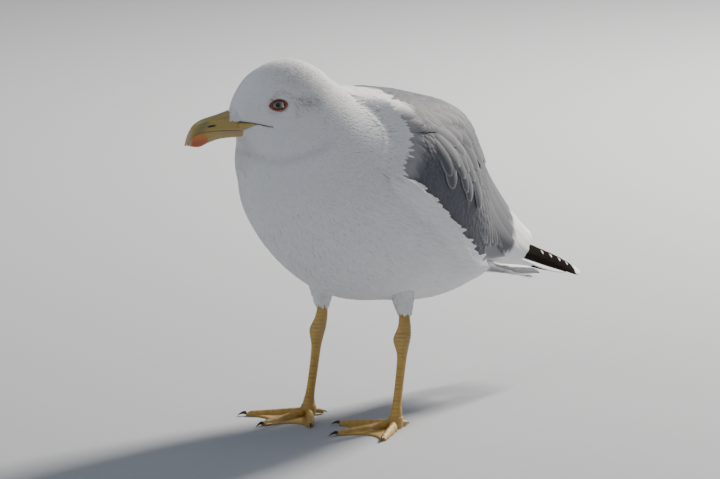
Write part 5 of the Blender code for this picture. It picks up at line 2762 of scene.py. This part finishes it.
@dataclass(frozen=True)
class Studio:
    """A plain pale floor, soft light with a bright rim from behind, and the camera."""

    azimuth: float = math.radians(38)
    elevation: float = math.radians(10)
    distance: float = 4.0
    lens: float = 250.0
    aim_right: float = 5.6
    aim_up: float = 145.2
    floor_half: float = 14.0
    floor_colour: tuple[float, ...] = (0.40, 0.42, 0.45, 1)
    floor_roughness: float = 0.85
    sky_colour: tuple[float, ...] = (0.80, 0.87, 1.0, 1)
    sky_strength: float = 0.24
    lamps: tuple[tuple, ...] = (
        ("rim", (1.6, -2.0, 1.5), 0.5, 230.0, (1.0, 0.93, 0.84)),
        ("fill", (-2.2, 1.9, 1.2), 1.6, 16.0, (0.88, 0.94, 1.0)),
        ("top", (0.2, 0.2, 2.4), 1.4, 8.0, (1.0, 0.98, 0.96)),
    )

    def axes(self) -> tuple[Array, Array, Array]:
        """The camera's right, up and back directions.

        Returns:
            Three vectors.
        """
        a, e = self.azimuth, self.elevation
        back = np.array([math.sin(a) * math.cos(e), -math.cos(a) * math.cos(e), math.sin(e)])
        right = np.array([math.cos(a), math.sin(a), 0.0])
        return right, np.cross(back, right), back

    def target(self) -> Array:
        """The point the camera looks at, in metres."""
        right, up, _ = self.axes()
        return PLACE.to_row(right * self.aim_right + up * self.aim_up)

    def face_to(self, thing: Piece, place: Array) -> None:
        """Puts a camera or light at a place, looking at the target.

        Args:
            thing, place: the camera or light and its place in metres.
        """
        thing.location = place
        aim = Vector(self.target() - place)
        thing.rotation_euler = aim.to_track_quat("-Z", "Y").to_euler()
        bpy.context.scene.collection.objects.link(thing)

    def camera(self) -> None:
        """The scene's camera."""
        data = bpy.data.cameras.new("camera")
        data.lens = self.lens
        data.sensor_width = 36.0
        data.clip_end = 200.0
        camera = bpy.data.objects.new("camera", data)
        self.face_to(camera, self.target() + self.axes()[2] * self.distance)
        bpy.context.scene.camera = camera

    def light(
        self, name: str, place: Sequence[float], size: float, power: float, colour: Sequence[float]
    ) -> None:
        """A soft square light. place is in metres right, back towards the camera, and up from the target.

        Args:
            name, place, size, power, colour: its name, place, width in metres, watts and colour.
        """
        right, _, back = self.axes()
        level = unit(np.array([back[0], back[1], 0.0]))
        data = bpy.data.lights.new(name, "AREA")
        data.size = size
        data.energy = power
        data.color = colour
        spot = self.target() + right * place[0] + level * place[1] + np.array([0, 0, place[2]])
        self.face_to(bpy.data.objects.new(name, data), spot)

    def floor(self) -> Piece:
        """A level pale floor.

        Returns:
            The piece.
        """
        mesh = bpy.data.meshes.new("floor")
        half = self.floor_half
        corners = [(-half, -half, 0), (half, -half, 0), (half, half, 0), (-half, half, 0)]
        mesh.from_pydata(corners, [], [(0, 1, 2, 3)])
        paint = bpy.data.materials.new("floor_paint")
        paint.use_nodes = True
        shader = paint.node_tree.nodes["Principled BSDF"]
        shader.inputs["Base Color"].default_value = self.floor_colour
        shader.inputs["Roughness"].default_value = self.floor_roughness
        mesh.materials.append(paint)
        floor = bpy.data.objects.new("floor", mesh)
        bpy.context.scene.collection.objects.link(floor)
        return floor

    def build(self) -> None:
        """The whole stage."""
        self.floor()
        world = bpy.data.worlds.new("studio")
        world.use_nodes = True
        sky = world.node_tree.nodes["Background"]
        sky.inputs["Color"].default_value = self.sky_colour
        sky.inputs["Strength"].default_value = self.sky_strength
        bpy.context.scene.world = world
        for lamp in self.lamps:
            self.light(*lamp)
        self.camera()


def main() -> None:
    """Builds the skin, the coats, the hard parts and the stage."""
    logging.basicConfig(level=logging.INFO, format="%(name)s %(message)s")
    Skin().build()
    BodyCoat().build()
    Tail().build()
    Bill().build()
    Frons().build()
    Saddle().build()
    for side in SIDES:
        WingCoat(side).build()
        Overlap(side).build()
        Primaries(side).build()
        ThighCoat(side).build()
        Gape(side).build()
        Eye(side).build()
        Claws(side).build()
    Studio().build()


if __name__ == "__main__":
    main()
